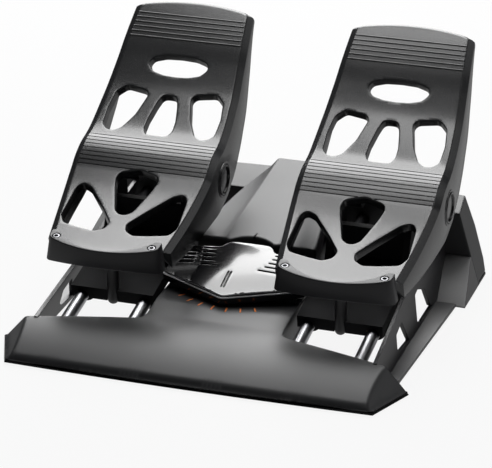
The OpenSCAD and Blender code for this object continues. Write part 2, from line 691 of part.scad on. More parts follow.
shield_nose = shield_nose_y - rocker_y;
function rim_y(x) = shield_nose + abs(x) * tan(shield_sweep);
module shield_outline(inset) {
  tip = shield_tip_half_w - inset;
  back = shield_back_half_w - inset;
  nose = inset / cos(shield_sweep);
  polygon(rounded([[0, shield_nose + nose], [tip, rim_y(tip) + nose], [tip, rim_y(tip) + 2 * hub_gap],
    [back, shield_back - inset], [-back, shield_back - inset], [-tip, rim_y(tip) + 2 * hub_gap],
    [-tip, rim_y(tip) + nose]], shield_corner_r));
  circle(r = hub_r - inset);
}
module shield_cover() color(gloss) at_rocker() difference() {
  union() {
    translate([0, 0, shield_floor]) linear_extrude(shield_rim_w - shield_floor) shield_outline(0);
    intersection() {
      translate([0, 0, shield_rim_w - over]) linear_extrude(shield_crown + over) shield_outline(0);
      translate([0, 0, shield_rim_w + shield_crown - big]) sphere(r = big, $fn = 200);
    }
    difference() {
      translate([0, 0, shield_skirt_floor]) linear_extrude(shield_floor - shield_skirt_floor) shield_outline(0);
      translate([0, 0, -over]) linear_extrude(big) shield_outline(shield_skirt_t);
      block(-big, big, -arm_half_w - shield_arm_gap, big, 0, big);
    }
  }
  translate([0, 0, shield_floor - over]) cylinder(r = rocker_axle_r + over, h = 2 * over + arm_t / 2);
  for (m = [-1, 1], k = [0 : vent_count - 1])
    translate([m * (shield_back_half_w - hub_gap), shield_back - vent_pitch * (k + 1), 0])
    block(-vent_len(k), vent_len(k), -vent_w / 2, vent_w / 2, shield_rim_w, big);
  both() block(pointer_gap, pointer_gap + pointer_w, shield_nose + pointer_start, shield_nose + pointer_end,
    shield_rim_w + shield_crown - pow(shield_nose + pointer_start, 2) / (2 * big) - pointer_depth, big);
}
function vent_len(k) = vent_half + vent_grow * k;

module shield_trim() color(steel) at_rocker() intersection() {
  difference() {
    translate([0, 0, shield_floor]) linear_extrude(trim_h) shield_outline(-trim_t);
    linear_extrude(big) shield_outline(0);
  }
  block(-big, big, -big, shield_nose * trim_back_share, 0, big);
}

module sensor_magnet() color(steel) at_rocker() translate([0, 0, arm_floor - magnet_t]) difference() {
  cylinder(r = rocker_bush_r + magnet_t, h = magnet_t);
  translate([0, 0, -over]) cylinder(r = rocker_bush_r, h = magnet_t + 2 * over);
}

// base
module sill_section(inset) {
  chord_mid = [(lip_y + deck_front_y) / 2, (lip_z + deck_h) / 2];
  half_chord = norm([deck_front_y - lip_y, deck_h - lip_z]) / 2;
  lift = sqrt(sill_top_r * sill_top_r - half_chord * half_chord);
  dir = unit([deck_front_y - lip_y, deck_h - lip_z]);
  c = chord_mid + [dir[1], -dir[0]] * lift;
  intersection() {
    translate(c) circle(r = sill_top_r - inset, $fn = 240);
    polygon([[front_y + 2 * inset, 0], [lip_y + inset, lip_z - inset / 2], [lip_y + inset, deck_h - inset],
      [big / 3, deck_h - inset], [big / 3, 0]]);
  }
}
module sill_form(inset) difference() {
  intersection() {
    along_x(base_w) sill_section(inset);
    translate([0, 0, -over]) linear_extrude(big) polygon([[-base_w / 2, front_y - over],
      [base_w / 2, front_y - over], [base_w / 2, sill_side_y - inset],
      [sill_tip_half_w, sill_side_y - inset], [deck_half_w - wall, deck_front_y + sill_tuck - inset],
      [wall - deck_half_w, deck_front_y + sill_tuck - inset], [-sill_tip_half_w, sill_side_y - inset],
      [-base_w / 2, sill_side_y - inset]]);
    translate([0, front_y + inset + sill_bow_r, -over]) cylinder(r = sill_bow_r, h = big, $fn = 720);
  }
  both() translate([sill_w / 2 - inset / cos(sill_end_lean), 0, 0])
    rotate([0, -sill_end_lean, -sill_end_turn]) block(0, big, -big, big, -big, big);
}
module deck_form(inset) block(-deck_half_w + inset, deck_half_w - inset, deck_front_y - wall - over,
  rear_wall_y - inset - gap, 0, deck_h - inset);
module screw_places() {
  for (x = [-1, 1], y = [screw_front_y, screw_back_y]) translate([x * screw_x, y, 0]) children();
}
module rear_screw_places() {
  for (x = [-1, 1]) translate([x * rear_screw_x, rear_screw_y, 0]) children();
}
module screw_hole() translate([0, 0, -over]) {
  cylinder(r = screw_r + gap / 2, h = pan_t + 2 * over);
  cylinder(r = screw_head_r + gap / 2, h = screw_head_t + over);
}
module axle_bore(r) rail_frame()
  translate([0, rocker_u, -big / 2]) cylinder(r = r, h = big);
module front_deck() color(black) placed() difference() {
  union() {
    difference() {
      union() {
        sill_form(0);
        deck_form(0);
      }
      translate([0, 0, -over]) sill_form(wall);
      translate([0, 0, -over]) deck_form(wall);
    }
    translate([0, rocker_y, pan_t]) cylinder(r = rocker_axle_r + 2 * wall, h = deck_h - wall);
    screw_places() cylinder(r = boss_r, h = deck_h - wall / 2);
  }
  screw_places() cylinder(r = screw_r, h = pan_t + screw_len);
  rail_bores(rail_r + run_fit);
  axle_bore(rocker_axle_r);
  block(-big, big, -big, big, -big, pan_t);
}
module base_pan() color(black) placed() difference() {
  union() {
    intersection() {
      union() {
        sill_form(0);
        deck_form(0);
      }
      block(-big, big, -big, big, 0, pan_t);
    }
    for (x = [-1, 1], y = [board_inset, board_len - board_inset])
      translate([x * (board_half - board_inset), board_y + y, 0]) cylinder(r = board_inset, h = board_z);
  }
  screw_places() screw_hole();
}

// side frames
module web_outline() difference() {
  polygon([[sill_side_y, 0], [sill_side_y, web_front_h], [rear_wall_y - gap, web_back_h],
    [rear_wall_y - gap, 0]]);
  for (w = [window_a_shares, window_b_shares])
    polygon(rounded([for (p = w) [window_front_y + p[0] * window_run, p[1] * window_scale_z]], window_fillet));
}
module side_plane() translate([base_w / 2, 0, 0]) rotate([0, -side_lean, 0])
  block(0, big, -big, big, -big, big);
module side_frame(s) color(black) placed() mirror([s < 0 ? 1 : 0, 0, 0]) {
  difference() {
    union() {
      translate([web_foot_half_w, 0, 0]) rotate([0, -web_lean, 0]) translate([-web_t / 2, 0, 0])
        along_x(web_t) web_outline();
      linear_extrude(flange_t) polygon([[web_foot_half_w - web_t, sill_side_y],
        [flange_front_half_w, sill_side_y], [flange_back_half_w, ramp_front_y], [web_foot_half_w - web_t, ramp_front_y + over]]);
      difference() {
        intersection() {
          block(web_foot_half_w - 2 * web_t - web_lean_share * ramp_h, base_w / 2, ramp_front_y,
            rear_wall_y - gap, 0, ramp_h);
          along_x(base_w) polygon([[ramp_front_y, 0], [rear_wall_y - gap, ramp_h], [rear_wall_y - gap, 0]]);
        }
        side_plane();
      }
    }
    block(0, big, -big, big, -big, 0);
    sill_form(0);
    translate([web_foot_half_w - web_t / cos(web_lean), 0, 0]) rotate([0, -web_lean, 0])
      block(-big, 0, -big, big, -big, big);
  }
}

// rear housing
module housing_section(inset) polygon([[rear_wall_y + inset, -over],
  [rear_wall_y + inset, housing_front_h - inset], [housing_back_y, housing_back_h - inset], [housing_back_y + back_bow, housing_back_h - inset],
  [housing_back_y + back_bow, -over]]);
function back_profile(inset) = [[0, -over], [back_bow_r - back_foot - inset, -over],
  [back_bow_r - inset, back_low_z], [back_bow_r - inset, back_high_z],
  [back_bow_r - back_shoulder - inset, back_shoulder_z],
  [back_bow_r - back_lip - inset, housing_back_h - inset], [0, housing_back_h - inset]];
module housing_form(inset) difference() {
  intersection() {
    along_x(base_w + 2 * over) housing_section(inset);
    translate([0, housing_back_y - back_bow_r, 0]) rotate_extrude($fn = 720) polygon(back_profile(inset));
  }
  both() translate([-inset / cos(side_lean), 0, 0]) side_plane();
  block(-big, big, -big, big, -big, 0);
}
module rear_housing() color(black) placed() difference() {
  union() {
    difference() {
      housing_form(0);
      translate([0, 0, -over / 2]) housing_form(wall);
      block(-big, big, rear_wall_y + wall, housing_back_y - wall - back_bow, -over, pan_t + over);
    }
    intersection() {
      rear_screw_places() cylinder(r = boss_r, h = big);
      housing_form(wall / 2);
    }
  }
  rear_screw_places() cylinder(r = screw_r, h = pan_t + screw_len);
  block(-big, big, -big, big, -big, pan_t);
  rail_bores(rail_r + run_fit);
  translate([gland_x, housing_back_y, gland_z]) rod_y(gland_r, -back_bow, over);
}
module rear_pan() color(black) placed() difference() {
  intersection() {
    housing_form(0);
    block(-big, big, -big, big, 0, pan_t);
  }
  rear_screw_places() screw_hole();
}

// spine
function spine_z(y) = spine_front_h + (y - spine_front_y) * spine_rise_share;
spine_run = spine_back_y - spine_front_y;
spine_tilt = atan(spine_rise_share);
module flank(half_front, half_back, z_drop, lean, inset) {
  turn = atan((half_front - half_back) / spine_run);
  both() translate([half_front - inset, spine_front_y, spine_front_h - z_drop]) rotate([spine_tilt, 0, 0])
    rotate([0, 0, turn]) rotate([0, -lean, 0]) block(0, big, -big, big, -big, big);
}
module spine_form(inset) difference() {
  along_x(2 * spine_side_half_front) polygon([[spine_front_y + inset, deck_h - min(inset, over)],
    [spine_front_y + inset, spine_z(spine_front_y + inset) - inset],
    [spine_back_y - inset, spine_z(spine_back_y - inset) - inset],
    [spine_back_y - inset, deck_h - min(inset, over)]]);
  flank(spine_top_half_front, spine_top_half_front * spine_top_taper_share, 0, spine_top_lean, inset);
  flank(spine_shoulder_half_front, spine_shoulder_half_back, spine_shoulder_drop, spine_side_lean, inset);
  flank(spine_side_half_front, spine_side_half_back, deck_h, 0, inset);
}
module spine_cover() color(black) placed() difference() {
  spine_form(0);
  spine_form(wall);
  housing_form(0);
  rail_frame() translate([0, rocker_u, 0]) {
    cylinder(r = hub_r + hub_gap, h = big);
    intersection() {
      cylinder(r = spine_corner_cut_r, h = big);
      both() block(spine_corner_cut_x, big, -big, big, carriage_h, big);
    }
  }
  translate([0, spine_front_y + hub_gap, spine_front_h])
    block(-notch_w / 2, notch_w / 2, 0, notch_len, -over, big);
}

module vent_shroud() color(gloss) placed() difference() {
  intersection() {
    linear_extrude(big / 6) polygon([[-shroud_half_w, shroud_front_y], [shroud_half_w, shroud_front_y],
      [shroud_half_w, spine_front_y - gap], [-shroud_half_w, spine_front_y - gap]]);
    rail_frame() block(-big, big, -big, big, -big, carriage_h - gap);
  }
  block(-big, big, -big, big, -over, deck_h);
  translate([0, 0, -over]) intersection() {
    block(-shroud_half_w + wall, shroud_half_w - wall, shroud_front_y + wall,
      spine_front_y - gap - wall, 0, big);
    rail_frame() block(-big, big, -big, big, -big, carriage_h - gap - wall);
  }
  rail_frame() translate([0, rocker_u, -big / 2])
    cylinder(r = rocker_axle_r + 2 * wall, h = big);
  for (m = [-1, 1], k = [0 : 1])
    translate([m * shroud_half_w * shroud_vent_place_share,
      spine_front_y - vent_pitch * (k + shroud_vent_first_share), 0]) block(-shroud_half_w / 5, shroud_half_w / 5, -vent_w / 2, vent_w / 2, deck_h + wall, big);
}

module scale_ticks() color(orange) placed() translate([0, rocker_y, deck_h])
  for (k = [0 : tick_count - 1]) rotate([0, 0, tick_turn + (k - (tick_count - 1) / 2) * tick_angle])
    block(-tick_w / 2, tick_w / 2, -tick_r - tick_len, -tick_r, 0, tick_h);

// rails and their mounts
module rail(s, t) color(steel) side_rails(s) translate([t * s * rail_spacing / 2, 0, 0])
  rod_y(rail_r, rail_start, rail_end);
module mount_blocks(y0, y1, drop) placed() difference() {
  for (s = [-1, 1], t = [-1, 1]) translate([s * half_spacing + t * rail_spacing / 2, 0, 0])
    block(-rail_r - wall, rail_r + wall, y0, y1, pan_t, rail_z_at((y0 + y1) / 2) + drop);
  rail_bores(rail_r + run_fit);
  difference() {
    block(-big, big, -big, deck_front_y, pan_t + over, big);
    sill_form(wall);
  }
}
module front_rail_mounts() color(black) mount_blocks(rail_front_y - wall, rail_front_y + 2 * wall - over, 0);
module rear_rail_mounts() color(black) mount_blocks(rear_wall_y + wall, rail_back_y + wall, rail_d);

// rocker axle
module rocker_axle() color(steel) at_rocker() {
  translate([0, 0, axle_foot_w]) cylinder(r = rocker_axle_r, h = arm_top - axle_foot_w);
}
module rocker_washer() color(steel) at_rocker() translate([0, 0, arm_floor - gap - washer_t]) difference() {
  cylinder(r = rocker_bush_r - gap, h = washer_t);
  translate([0, 0, -over]) cylinder(r = rocker_axle_r + run_fit, h = washer_t + 2 * over);
}
module centring_spring() color(steel) at_rocker() difference() {
  translate([0, 0, spring_floor]) cylinder(r = rocker_axle_r + spring_wall, h = spring_wall);
  cylinder(r = rocker_axle_r + gap, h = big);
}

module control_board() color(board_green) placed() {
  block(-board_half, board_half, board_y, board_y + board_len, board_z, board_z + board_t);
  for (k = [-1, 1]) translate([k * board_half / 2, board_y + board_len / 2, board_z + board_t])
    block(-chip_half, chip_half, -chip_half, chip_half, 0, chip_h);
}
module cable_gland() color(rubber) placed() translate([gland_x, housing_back_y, gland_z]) difference() {
  union() {
    rod_y(gland_r, -wall - gland_flange, gland_flange);
    rod_y(gland_r + gland_flange, -wall - 2 * gland_flange, -wall - gap);
    rod_y(gland_r + gland_flange, 0, gland_flange);
  }
  rod_y(cable_hole_r, -big, big);
}

module rubber_feet() color(rubber) placed() for (x = [-1, 1], y = [0, 1])
  translate([x * (y == 0 ? foot_front_x : foot_back_x), y == 0 ? foot_front_y : foot_back_y, -foot_h])
    cylinder(r = foot_r, h = foot_h);

module base_screws() color(steel) placed() {
  screw_places() base_screw();
  rear_screw_places() base_screw();
}
module base_screw() {
  cylinder(r = screw_r, h = pan_t + screw_len);
  cylinder(r = screw_head_r, h = screw_head_t);
}

front_deck();
base_pan();
side_frame(-1);  // left_side_frame
side_frame(1);  // right_side_frame
rear_housing();
rear_pan();
spine_cover();
vent_shroud();
scale_ticks();
rail(-1, 1);  // rail_left_outer
rail(-1, -1);  // rail_left_inner
rail(1, -1);  // rail_right_inner
rail(1, 1);  // rail_right_outer
front_rail_mounts();
rear_rail_mounts();
rocker_axle();
rocker_washer();
centring_spring();
control_board();
cable_gland();
rubber_feet();
base_screws();
rocker_arm();
rocker_bush();
shield_cover();
shield_trim();
sensor_magnet();
carriage(-1);  // left_carriage
rail_bushes(-1);  // left_rail_bushes
pivot_axle(-1);  // left_pivot_axle
link_pin(-1);  // left_link_pin
heel_post(-1);  // left_heel_post
toe_spring(-1);  // left_toe_spring
toe_stop(-1);  // left_toe_stop
brake_sensor(-1);  // left_brake_sensor
carriage(1);  // right_carriage
rail_bushes(1);  // right_rail_bushes
pivot_axle(1);  // right_pivot_axle
link_pin(1);  // right_link_pin
heel_post(1);  // right_heel_post
toe_spring(1);  // right_toe_spring
toe_stop(1);  // right_toe_stop
brake_sensor(1);  // right_brake_sensor
pedal_plate(-1);  // left_foot_plate
heel_cup(-1);  // left_heel_cup
heel_screws(-1);  // left_heel_screws
pivot_bushes(-1);  // left_pivot_bushes
pivot_caps(-1);  // left_pivot_caps
pedal_plate(1);  // right_foot_plate
heel_cup(1);  // right_heel_cup
heel_screws(1);  // right_heel_screws
pivot_bushes(1);  // right_pivot_bushes
pivot_caps(1);  // right_pivot_caps
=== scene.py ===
import math
import bpy
import numpy as np
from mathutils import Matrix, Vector
from mathutils.geometry import delaunay_2d_cdt


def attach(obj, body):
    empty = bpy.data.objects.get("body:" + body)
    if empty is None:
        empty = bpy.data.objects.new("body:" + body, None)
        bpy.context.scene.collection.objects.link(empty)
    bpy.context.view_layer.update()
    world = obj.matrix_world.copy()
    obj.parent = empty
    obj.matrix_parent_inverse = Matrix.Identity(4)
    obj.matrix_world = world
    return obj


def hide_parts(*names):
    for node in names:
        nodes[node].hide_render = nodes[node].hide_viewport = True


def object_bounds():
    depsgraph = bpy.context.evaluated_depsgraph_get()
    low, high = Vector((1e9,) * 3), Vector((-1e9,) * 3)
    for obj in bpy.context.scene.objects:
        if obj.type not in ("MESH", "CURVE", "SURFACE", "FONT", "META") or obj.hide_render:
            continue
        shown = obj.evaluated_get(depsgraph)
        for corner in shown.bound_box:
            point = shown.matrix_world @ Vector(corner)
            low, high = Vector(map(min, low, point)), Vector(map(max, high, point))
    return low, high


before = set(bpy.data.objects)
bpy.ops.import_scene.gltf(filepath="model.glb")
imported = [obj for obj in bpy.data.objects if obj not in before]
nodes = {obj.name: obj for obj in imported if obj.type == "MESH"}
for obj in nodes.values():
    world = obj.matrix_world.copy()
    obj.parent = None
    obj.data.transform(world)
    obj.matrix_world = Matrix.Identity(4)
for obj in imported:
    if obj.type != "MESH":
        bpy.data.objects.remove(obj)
CAD_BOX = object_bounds()

# Measured places are in mm: the sill's front edge is at y = SILL_FRONT, the base's underside at z = 0.
# MID and FOOT bring them into the CAD frame, which is in metres and stands on the rubber feet.
SILL_FRONT, FOOT = -3.0, 1.5
MID = SILL_FRONT - min(v[1] for v in CAD_BOX) * 1000
PEDAL_X = 107.5
SIDES = (("left", -1), ("right", 1))


def P(x, y, z):
    """A measured place in the CAD frame."""
    return Vector((x / 1000, (y - MID) / 1000, (z + FOOT) / 1000))


# Materials
DRIFT_LOW, DRIFT_HIGH, BLOTCH = 0.1, 0.12, 14.0  # slow drift under and over the colour, and its scale
DRIFT_STOPS = (0.3, 0.7)
SPECK_STOPS = [(0.42, 0.0), (0.78, 1.0)]
SPECK_SHARE, SPECK_TONE, FLECK_TONE = 0.35, 0.6, 0.05
EDGE_STOPS = [(0.51, 0.0), (0.6, 1.0)]  # pointiness of flat and of worn places
WEAR, WORN_GAIN, WORN_LIFT = 0.12, 2.2, 0.05
GRAIN_DEPTH, DRAWN_DEPTH = 0.0002, 0.0001  # metres
DRAWN_DARK, DRAWN_ROUGH = 0.82, (0.7, 1.5)  # darker streaks, and the spread of the roughness
# painted shade on the rails behind the carriages: its near-black colour, the run (m) over which it sets in,
# and the roughness it adds
RAIL_SHADE_COLOUR, RAIL_SHADE_FADE, RAIL_SHADE_ROUGH = (0.012, 0.012, 0.013, 1), 0.012, 0.35


def new_mat(name):
    """A material with a Principled node: the material, its tree and the node."""
    m = bpy.data.materials.new(name)
    m.use_nodes = True
    nt = m.node_tree
    nt.nodes.clear()
    out = nt.nodes.new("ShaderNodeOutputMaterial")
    b = nt.nodes.new("ShaderNodeBsdfPrincipled")
    nt.links.new(b.outputs[0], out.inputs[0])
    return m, nt, b


def feed(nt, socket, value):
    """Links an output to the input, or gives the input a plain value."""
    if isinstance(value, bpy.types.NodeSocket):
        nt.links.new(value, socket)
    else:
        socket.default_value = value


def node(nt, kind, **kw):
    """A node; in_NAME or in_NUMBER feeds an input, any other word sets a property."""
    n = nt.nodes.new(kind)
    for k, v in kw.items():
        if k.startswith("in_"):
            key = k[3:]
            feed(nt, n.inputs[int(key) if key.isdigit() else key.replace("_", " ")], v)
        else:
            setattr(n, k, v)
    return n


def ramp(nt, src, stops):
    """Colour ramp over src; a stop's colour may be a single grey."""
    r = nt.nodes.new("ShaderNodeValToRGB")
    e = r.color_ramp.elements
    while len(e) > 1:
        e.remove(e[-1])
    for i, (p, c) in enumerate(stops):
        el = e[0] if i == 0 else e.new(p)
        el.position = p
        el.color = c if isinstance(c, tuple) else (c, c, c, 1)
    nt.links.new(src, r.inputs[0])
    return r.outputs[0]


def times(nt, a, b):
    return node(nt, "ShaderNodeMath", operation="MULTIPLY", in_0=a, in_1=b).outputs[0]


def mix_colour(nt, share, a, b, blend="MIX"):
    n = node(nt, "ShaderNodeMix", data_type="RGBA", blend_type=blend, in_Factor=share, in_A=a, in_B=b)
    return n.outputs["Result"]


def span(nt, src, lo, hi):
    """Carries src, from 0 to 1, over to lo and hi."""
    return node(nt, "ShaderNodeMapRange", in_Value=src, in_To_Min=lo, in_To_Max=hi).outputs[0]


def plastic(name, col, rough, grain, bump, spread=0.06, spec=0.5, coat=0.0, coat_rough=0.2, metal=0.0,
            fleck=0.0, soft=0.0):
    """Moulded plastic with a fine grain; soft is the radius (mm) to which its sharp edges are shaded."""
    m, nt, b = new_mat(name)
    place = node(nt, "ShaderNodeTexCoord").outputs["Object"]
    fine = node(nt, "ShaderNodeTexNoise", in_Vector=place, in_Scale=grain, in_Detail=3.0,
                in_Roughness=0.6).outputs[0]
    broad = node(nt, "ShaderNodeTexNoise", in_Vector=place, in_Scale=BLOTCH, in_Detail=4.0,
                 in_Roughness=0.55).outputs[0]
    # colour: a slow drift, a fine speckle and paler worn edges
    lo = tuple(c * (1 - DRIFT_LOW) for c in col) + (1,)
    hi = tuple(min(1, c * (1 + DRIFT_HIGH)) for c in col) + (1,)
    speck_col = tuple(c * SPECK_TONE + fleck * FLECK_TONE for c in col) + (1,)
    worn_col = tuple(min(1, c * WORN_GAIN + WORN_LIFT) for c in col) + (1,)
    drift = ramp(nt, broad, list(zip(DRIFT_STOPS, (lo, hi))))
    speck = times(nt, ramp(nt, fine, SPECK_STOPS), SPECK_SHARE + fleck)
    speckled = mix_colour(nt, speck, drift, speck_col, "ADD")
    edge = ramp(nt, node(nt, "ShaderNodeNewGeometry").outputs["Pointiness"], EDGE_STOPS)
    worn = times(nt, times(nt, edge, broad), WEAR)
    feed(nt, b.inputs["Base Color"], mix_colour(nt, worn, speckled, worn_col))
    feed(nt, b.inputs["Roughness"], span(nt, broad, max(0.02, rough - spread), min(1, rough + spread)))
    bumps = node(nt, "ShaderNodeBump", in_Strength=bump, in_Distance=GRAIN_DEPTH, in_Height=fine)
    if soft:
        bevel = node(nt, "ShaderNodeBevel", samples=6, in_Radius=soft / 1000)
        feed(nt, bumps.inputs["Normal"], bevel.outputs[0])
    feed(nt, b.inputs["Normal"], bumps.outputs[0])
    for key, value in (("Metallic", metal), ("Specular IOR Level", spec), ("Coat Weight", coat),
                       ("Coat Roughness", coat_rough)):
        b.inputs[key].default_value = value
    return m


def steel(name, col, rough, stretch, bump=0.04, shade_from_y=None):
    """Drawn steel; the last argument is the y (m) behind which painted shade darkens the colour and dulls the
    shine, where the rails lie in shade behind the carriages.
    """
    m, nt, b = new_mat(name)
    place = node(nt, "ShaderNodeTexCoord").outputs["Object"]
    drawn = node(nt, "ShaderNodeMapping", in_0=place, in_Scale=stretch).outputs[0]
    n = node(nt, "ShaderNodeTexNoise", in_Vector=drawn, in_Scale=1.0, in_Detail=4.0).outputs[0]
    lo = tuple(k * DRAWN_DARK for k in col) + (1,)
    colour = ramp(nt, n, list(zip(DRIFT_STOPS, (lo, tuple(col) + (1,)))))
    matt = span(nt, n, rough * DRAWN_ROUGH[0], rough * DRAWN_ROUGH[1])
    # painted shade: behind that y the rail's colour turns near black and its roughness rises
    if shade_from_y is not None:
        y = node(nt, "ShaderNodeSeparateXYZ", in_0=place).outputs["Y"]
        share = node(nt, "ShaderNodeMapRange", in_Value=y, in_From_Min=shade_from_y,
                     in_From_Max=shade_from_y + RAIL_SHADE_FADE).outputs[0]
        colour = mix_colour(nt, share, colour, RAIL_SHADE_COLOUR)
        matt = node(nt, "ShaderNodeMath", operation="MULTIPLY_ADD", in_0=share, in_1=RAIL_SHADE_ROUGH,
                    in_2=matt).outputs[0]
    feed(nt, b.inputs["Base Color"], colour)
    feed(nt, b.inputs["Roughness"], matt)
    bumps = node(nt, "ShaderNodeBump", in_Strength=bump, in_Distance=DRAWN_DEPTH, in_Height=n)
    feed(nt, b.inputs["Normal"], bumps.outputs[0])
    b.inputs["Metallic"].default_value = 1.0
    return m


M = {
    "pedal": plastic("pedal_paint", (0.015, 0.0155, 0.0165), rough=0.25, grain=2600, bump=0.08, spread=0.04,
                     fleck=0.25, spec=0.65),
    "cup": plastic("cup_plastic", (0.018, 0.018, 0.02), rough=0.42, grain=2400, bump=0.1, spec=0.39),
    "cap": plastic("cap_plastic", (0.014, 0.014, 0.0155), rough=0.22, grain=2200, bump=0.03, spec=0.9),
    "screw": steel("black_screw", (0.2, 0.2, 0.21), 0.3, (1500.0, 1500.0, 1500.0)),
    "base": plastic("base_plastic", (0.022, 0.0225, 0.024), rough=0.44, grain=2200, bump=0.12, soft=2.2),
    "frame": plastic("frame_plastic", (0.018, 0.018, 0.02), rough=0.4, grain=1800, bump=0.1, spec=0.9,
                     soft=1.0),
    "dark": plastic("dark_plastic", (0.007, 0.007, 0.008), rough=0.65, grain=1800, bump=0.1, spec=0.15),
    "gloss": plastic("gloss_black", (0.006, 0.006, 0.007), rough=0.16, grain=900, bump=0.015, spread=0.03,
                     coat=0.5, coat_rough=0.08),
    "trim": plastic("silver_trim", (0.5, 0.505, 0.515), rough=0.3, grain=1500, bump=0.05, spec=0.6,
                    metal=0.3),
    # the rails carry painted shade from y = 0 back, behind the carriages' front
    "rail": steel("guide_rail", (0.6, 0.61, 0.63), 0.3, (600.0, 8.0, 600.0), 0.0, shade_from_y=0.0),
    "steel": steel("turned_steel", (0.5, 0.5, 0.52), 0.25, (700.0, 700.0, 700.0)),
    "blackened": steel("blackened_steel", (0.055, 0.055, 0.06), 0.35, (900.0, 900.0, 900.0)),
    "bronze": steel("sintered_bronze", (0.4, 0.29, 0.16), 0.42, (1500.0, 1500.0, 1500.0), 0.15),
    "rubber": plastic("rubber", (0.012, 0.012, 0.012), rough=0.75, grain=1500, bump=0.2, spec=0.3),
    "orange": plastic("orange_ink", (0.72, 0.2, 0.045), rough=0.5, grain=3000, bump=0.03, spec=0.4),
    "board": plastic("circuit_board", (0.02, 0.16, 0.07), rough=0.35, grain=500, bump=0.05),
}
# the nodes of each material, those of one side without left_ or right_; all others are "dark"
LOOKS = {
    "pedal": "foot_plate pivot_caps",
    "cup": "heel_cup",
    "base": "front_deck rear_housing rear_pan spine_cover",
    "frame": "side_frame heel_post",
    "gloss": "vent_shroud shield_cover",
    "trim": "shield_trim",
    "steel": "link_pin rocker_axle rocker_washer centring_spring sensor_magnet",
    "blackened": "heel_screws pivot_axle toe_spring base_screws",
    "bronze": "pivot_bushes rail_bushes rocker_bush",
    "rubber": "toe_stop cable_gland rubber_feet",
    "orange": "scale_ticks",
    "board": "control_board",
}
LOOK_OF = {n: look for look, names in LOOKS.items() for n in names.split()}
NODE_SHARP = 28


def look_of(name):
    name = name.removeprefix("left_").removeprefix("right_")
    return LOOK_OF.get(name, "rail" if name.startswith("rail_") else "dark")


def dress(me, look, sharp):
    """Gives a mesh its material and smooth shading, but for edges steeper than sharp (degrees)."""
    me.materials.clear()
    me.materials.append(M[look])
    for p in me.polygons:
        p.use_smooth = True
    if sharp:
        me.set_sharp_from_angle(angle=math.radians(sharp))


for n, o in nodes.items():
    dress(o.data, look_of(n), NODE_SHARP)


# Outlines and meshes
def catmull(pts, steps):
    """Smooth curve through the points."""
    out = []
    n = len(pts)
    for i in range(n - 1):
        a, b, c, d = pts[max(i - 1, 0)], pts[i], pts[i + 1], pts[min(i + 2, n - 1)]
        for k in range(steps):
            t = k / steps
            out.append(0.5 * ((2 * b) + (c - a) * t + (2 * a - 5 * b + 4 * c - d) * t * t
                              + (3 * b - 3 * c + d - a) * t ** 3))
    out.append(pts[-1])
    return np.array(out)


def round_poly(pts, r, steps=7):
    """Closed outline with its corners rounded to r, or less where a side is too short for it."""
    out = []
    n = len(pts)
    for i in range(n):
        a, b, c = (np.array(pts[j % n], float) for j in (i - 1, i, i + 1))
        u, v = (a - b), (c - b)
        lu, lv = np.linalg.norm(u), np.linalg.norm(v)
        u, v = u / lu, v / lv
        h = math.acos(max(-1, min(1, float(u @ v)))) / 2
        t = min(r / math.tan(h), lu * 0.46, lv * 0.46)
        q = t * math.tan(h)
        m = b + (u + v) / np.linalg.norm(u + v) * (q / math.sin(h))
        p0, p1 = b + u * t - m, b + v * t - m
        for k in range(steps + 1):
            w = p0 * (1 - k / steps) + p1 * (k / steps)
            out.append(m + w / np.linalg.norm(w) * q)
    return np.array(out)


def resample(loop, step):
    """Even points round a closed loop."""
    p = np.vstack([loop, loop[:1]])
    seg = np.hypot(*np.diff(p, axis=0).T)
    s = np.concatenate([[0], np.cumsum(seg)])
    n = max(12, int(round(s[-1] / step)))
    t = np.linspace(0, s[-1], n, endpoint=False)
    return np.stack([np.interp(t, s, p[:, 0]), np.interp(t, s, p[:, 1])], 1)


def smooth(loop, rounds):
    """Softens the corners of a closed loop."""
    for _ in range(rounds):
        loop = 0.25 * np.roll(loop, 1, 0) + 0.5 * loop + 0.25 * np.roll(loop, -1, 0)
    return loop


def arc(cx, cy, rad, angles):
    """Points of a circle at the given angles."""
    return [(cx + rad * math.cos(a), cy + rad * math.sin(a)) for a in angles]


def circle(cx, cy, rad, n):
    return np.array(arc(cx, cy, rad, [2 * math.pi * k / n for k in range(n)]))


def normals(loop):
    """Unit normals on the left of a closed loop."""
    d = np.roll(loop, -1, 0) - np.roll(loop, 1, 0)
    d /= np.linalg.norm(d, axis=1)[:, None]
    return np.stack([-d[:, 1], d[:, 0]], 1)


def inside(pts, loop):
    """Which points lie inside a closed loop."""
    x, y = pts[:, 0], pts[:, 1]
    res = np.zeros(len(pts), bool)
    for (x0, y0), (x1, y1) in zip(loop, np.roll(loop, -1, 0)):
        if y1 != y0:
            res ^= ((y0 > y) != (y1 > y)) & (x < (x1 - x0) * (y - y0) / (y1 - y0) + x0)
    return res


def far(pts, loop):
    """Distance of each point from a closed loop."""
    best = np.full(len(pts), 1e9)
    for p, q in zip(loop, np.roll(loop, -1, 0)):
        v = q - p
        t = np.clip(((pts - p) @ v) / max(v @ v, 1e-12), 0, 1)
        best = np.minimum(best, np.linalg.norm(pts - p - t[:, None] * v, axis=1))
    return best


def area2(a, b, c):
    """Twice the signed area of a triangle, or of many."""
    u, v = b - a, c - a
    return u[..., 0] * v[..., 1] - u[..., 1] * v[..., 0]


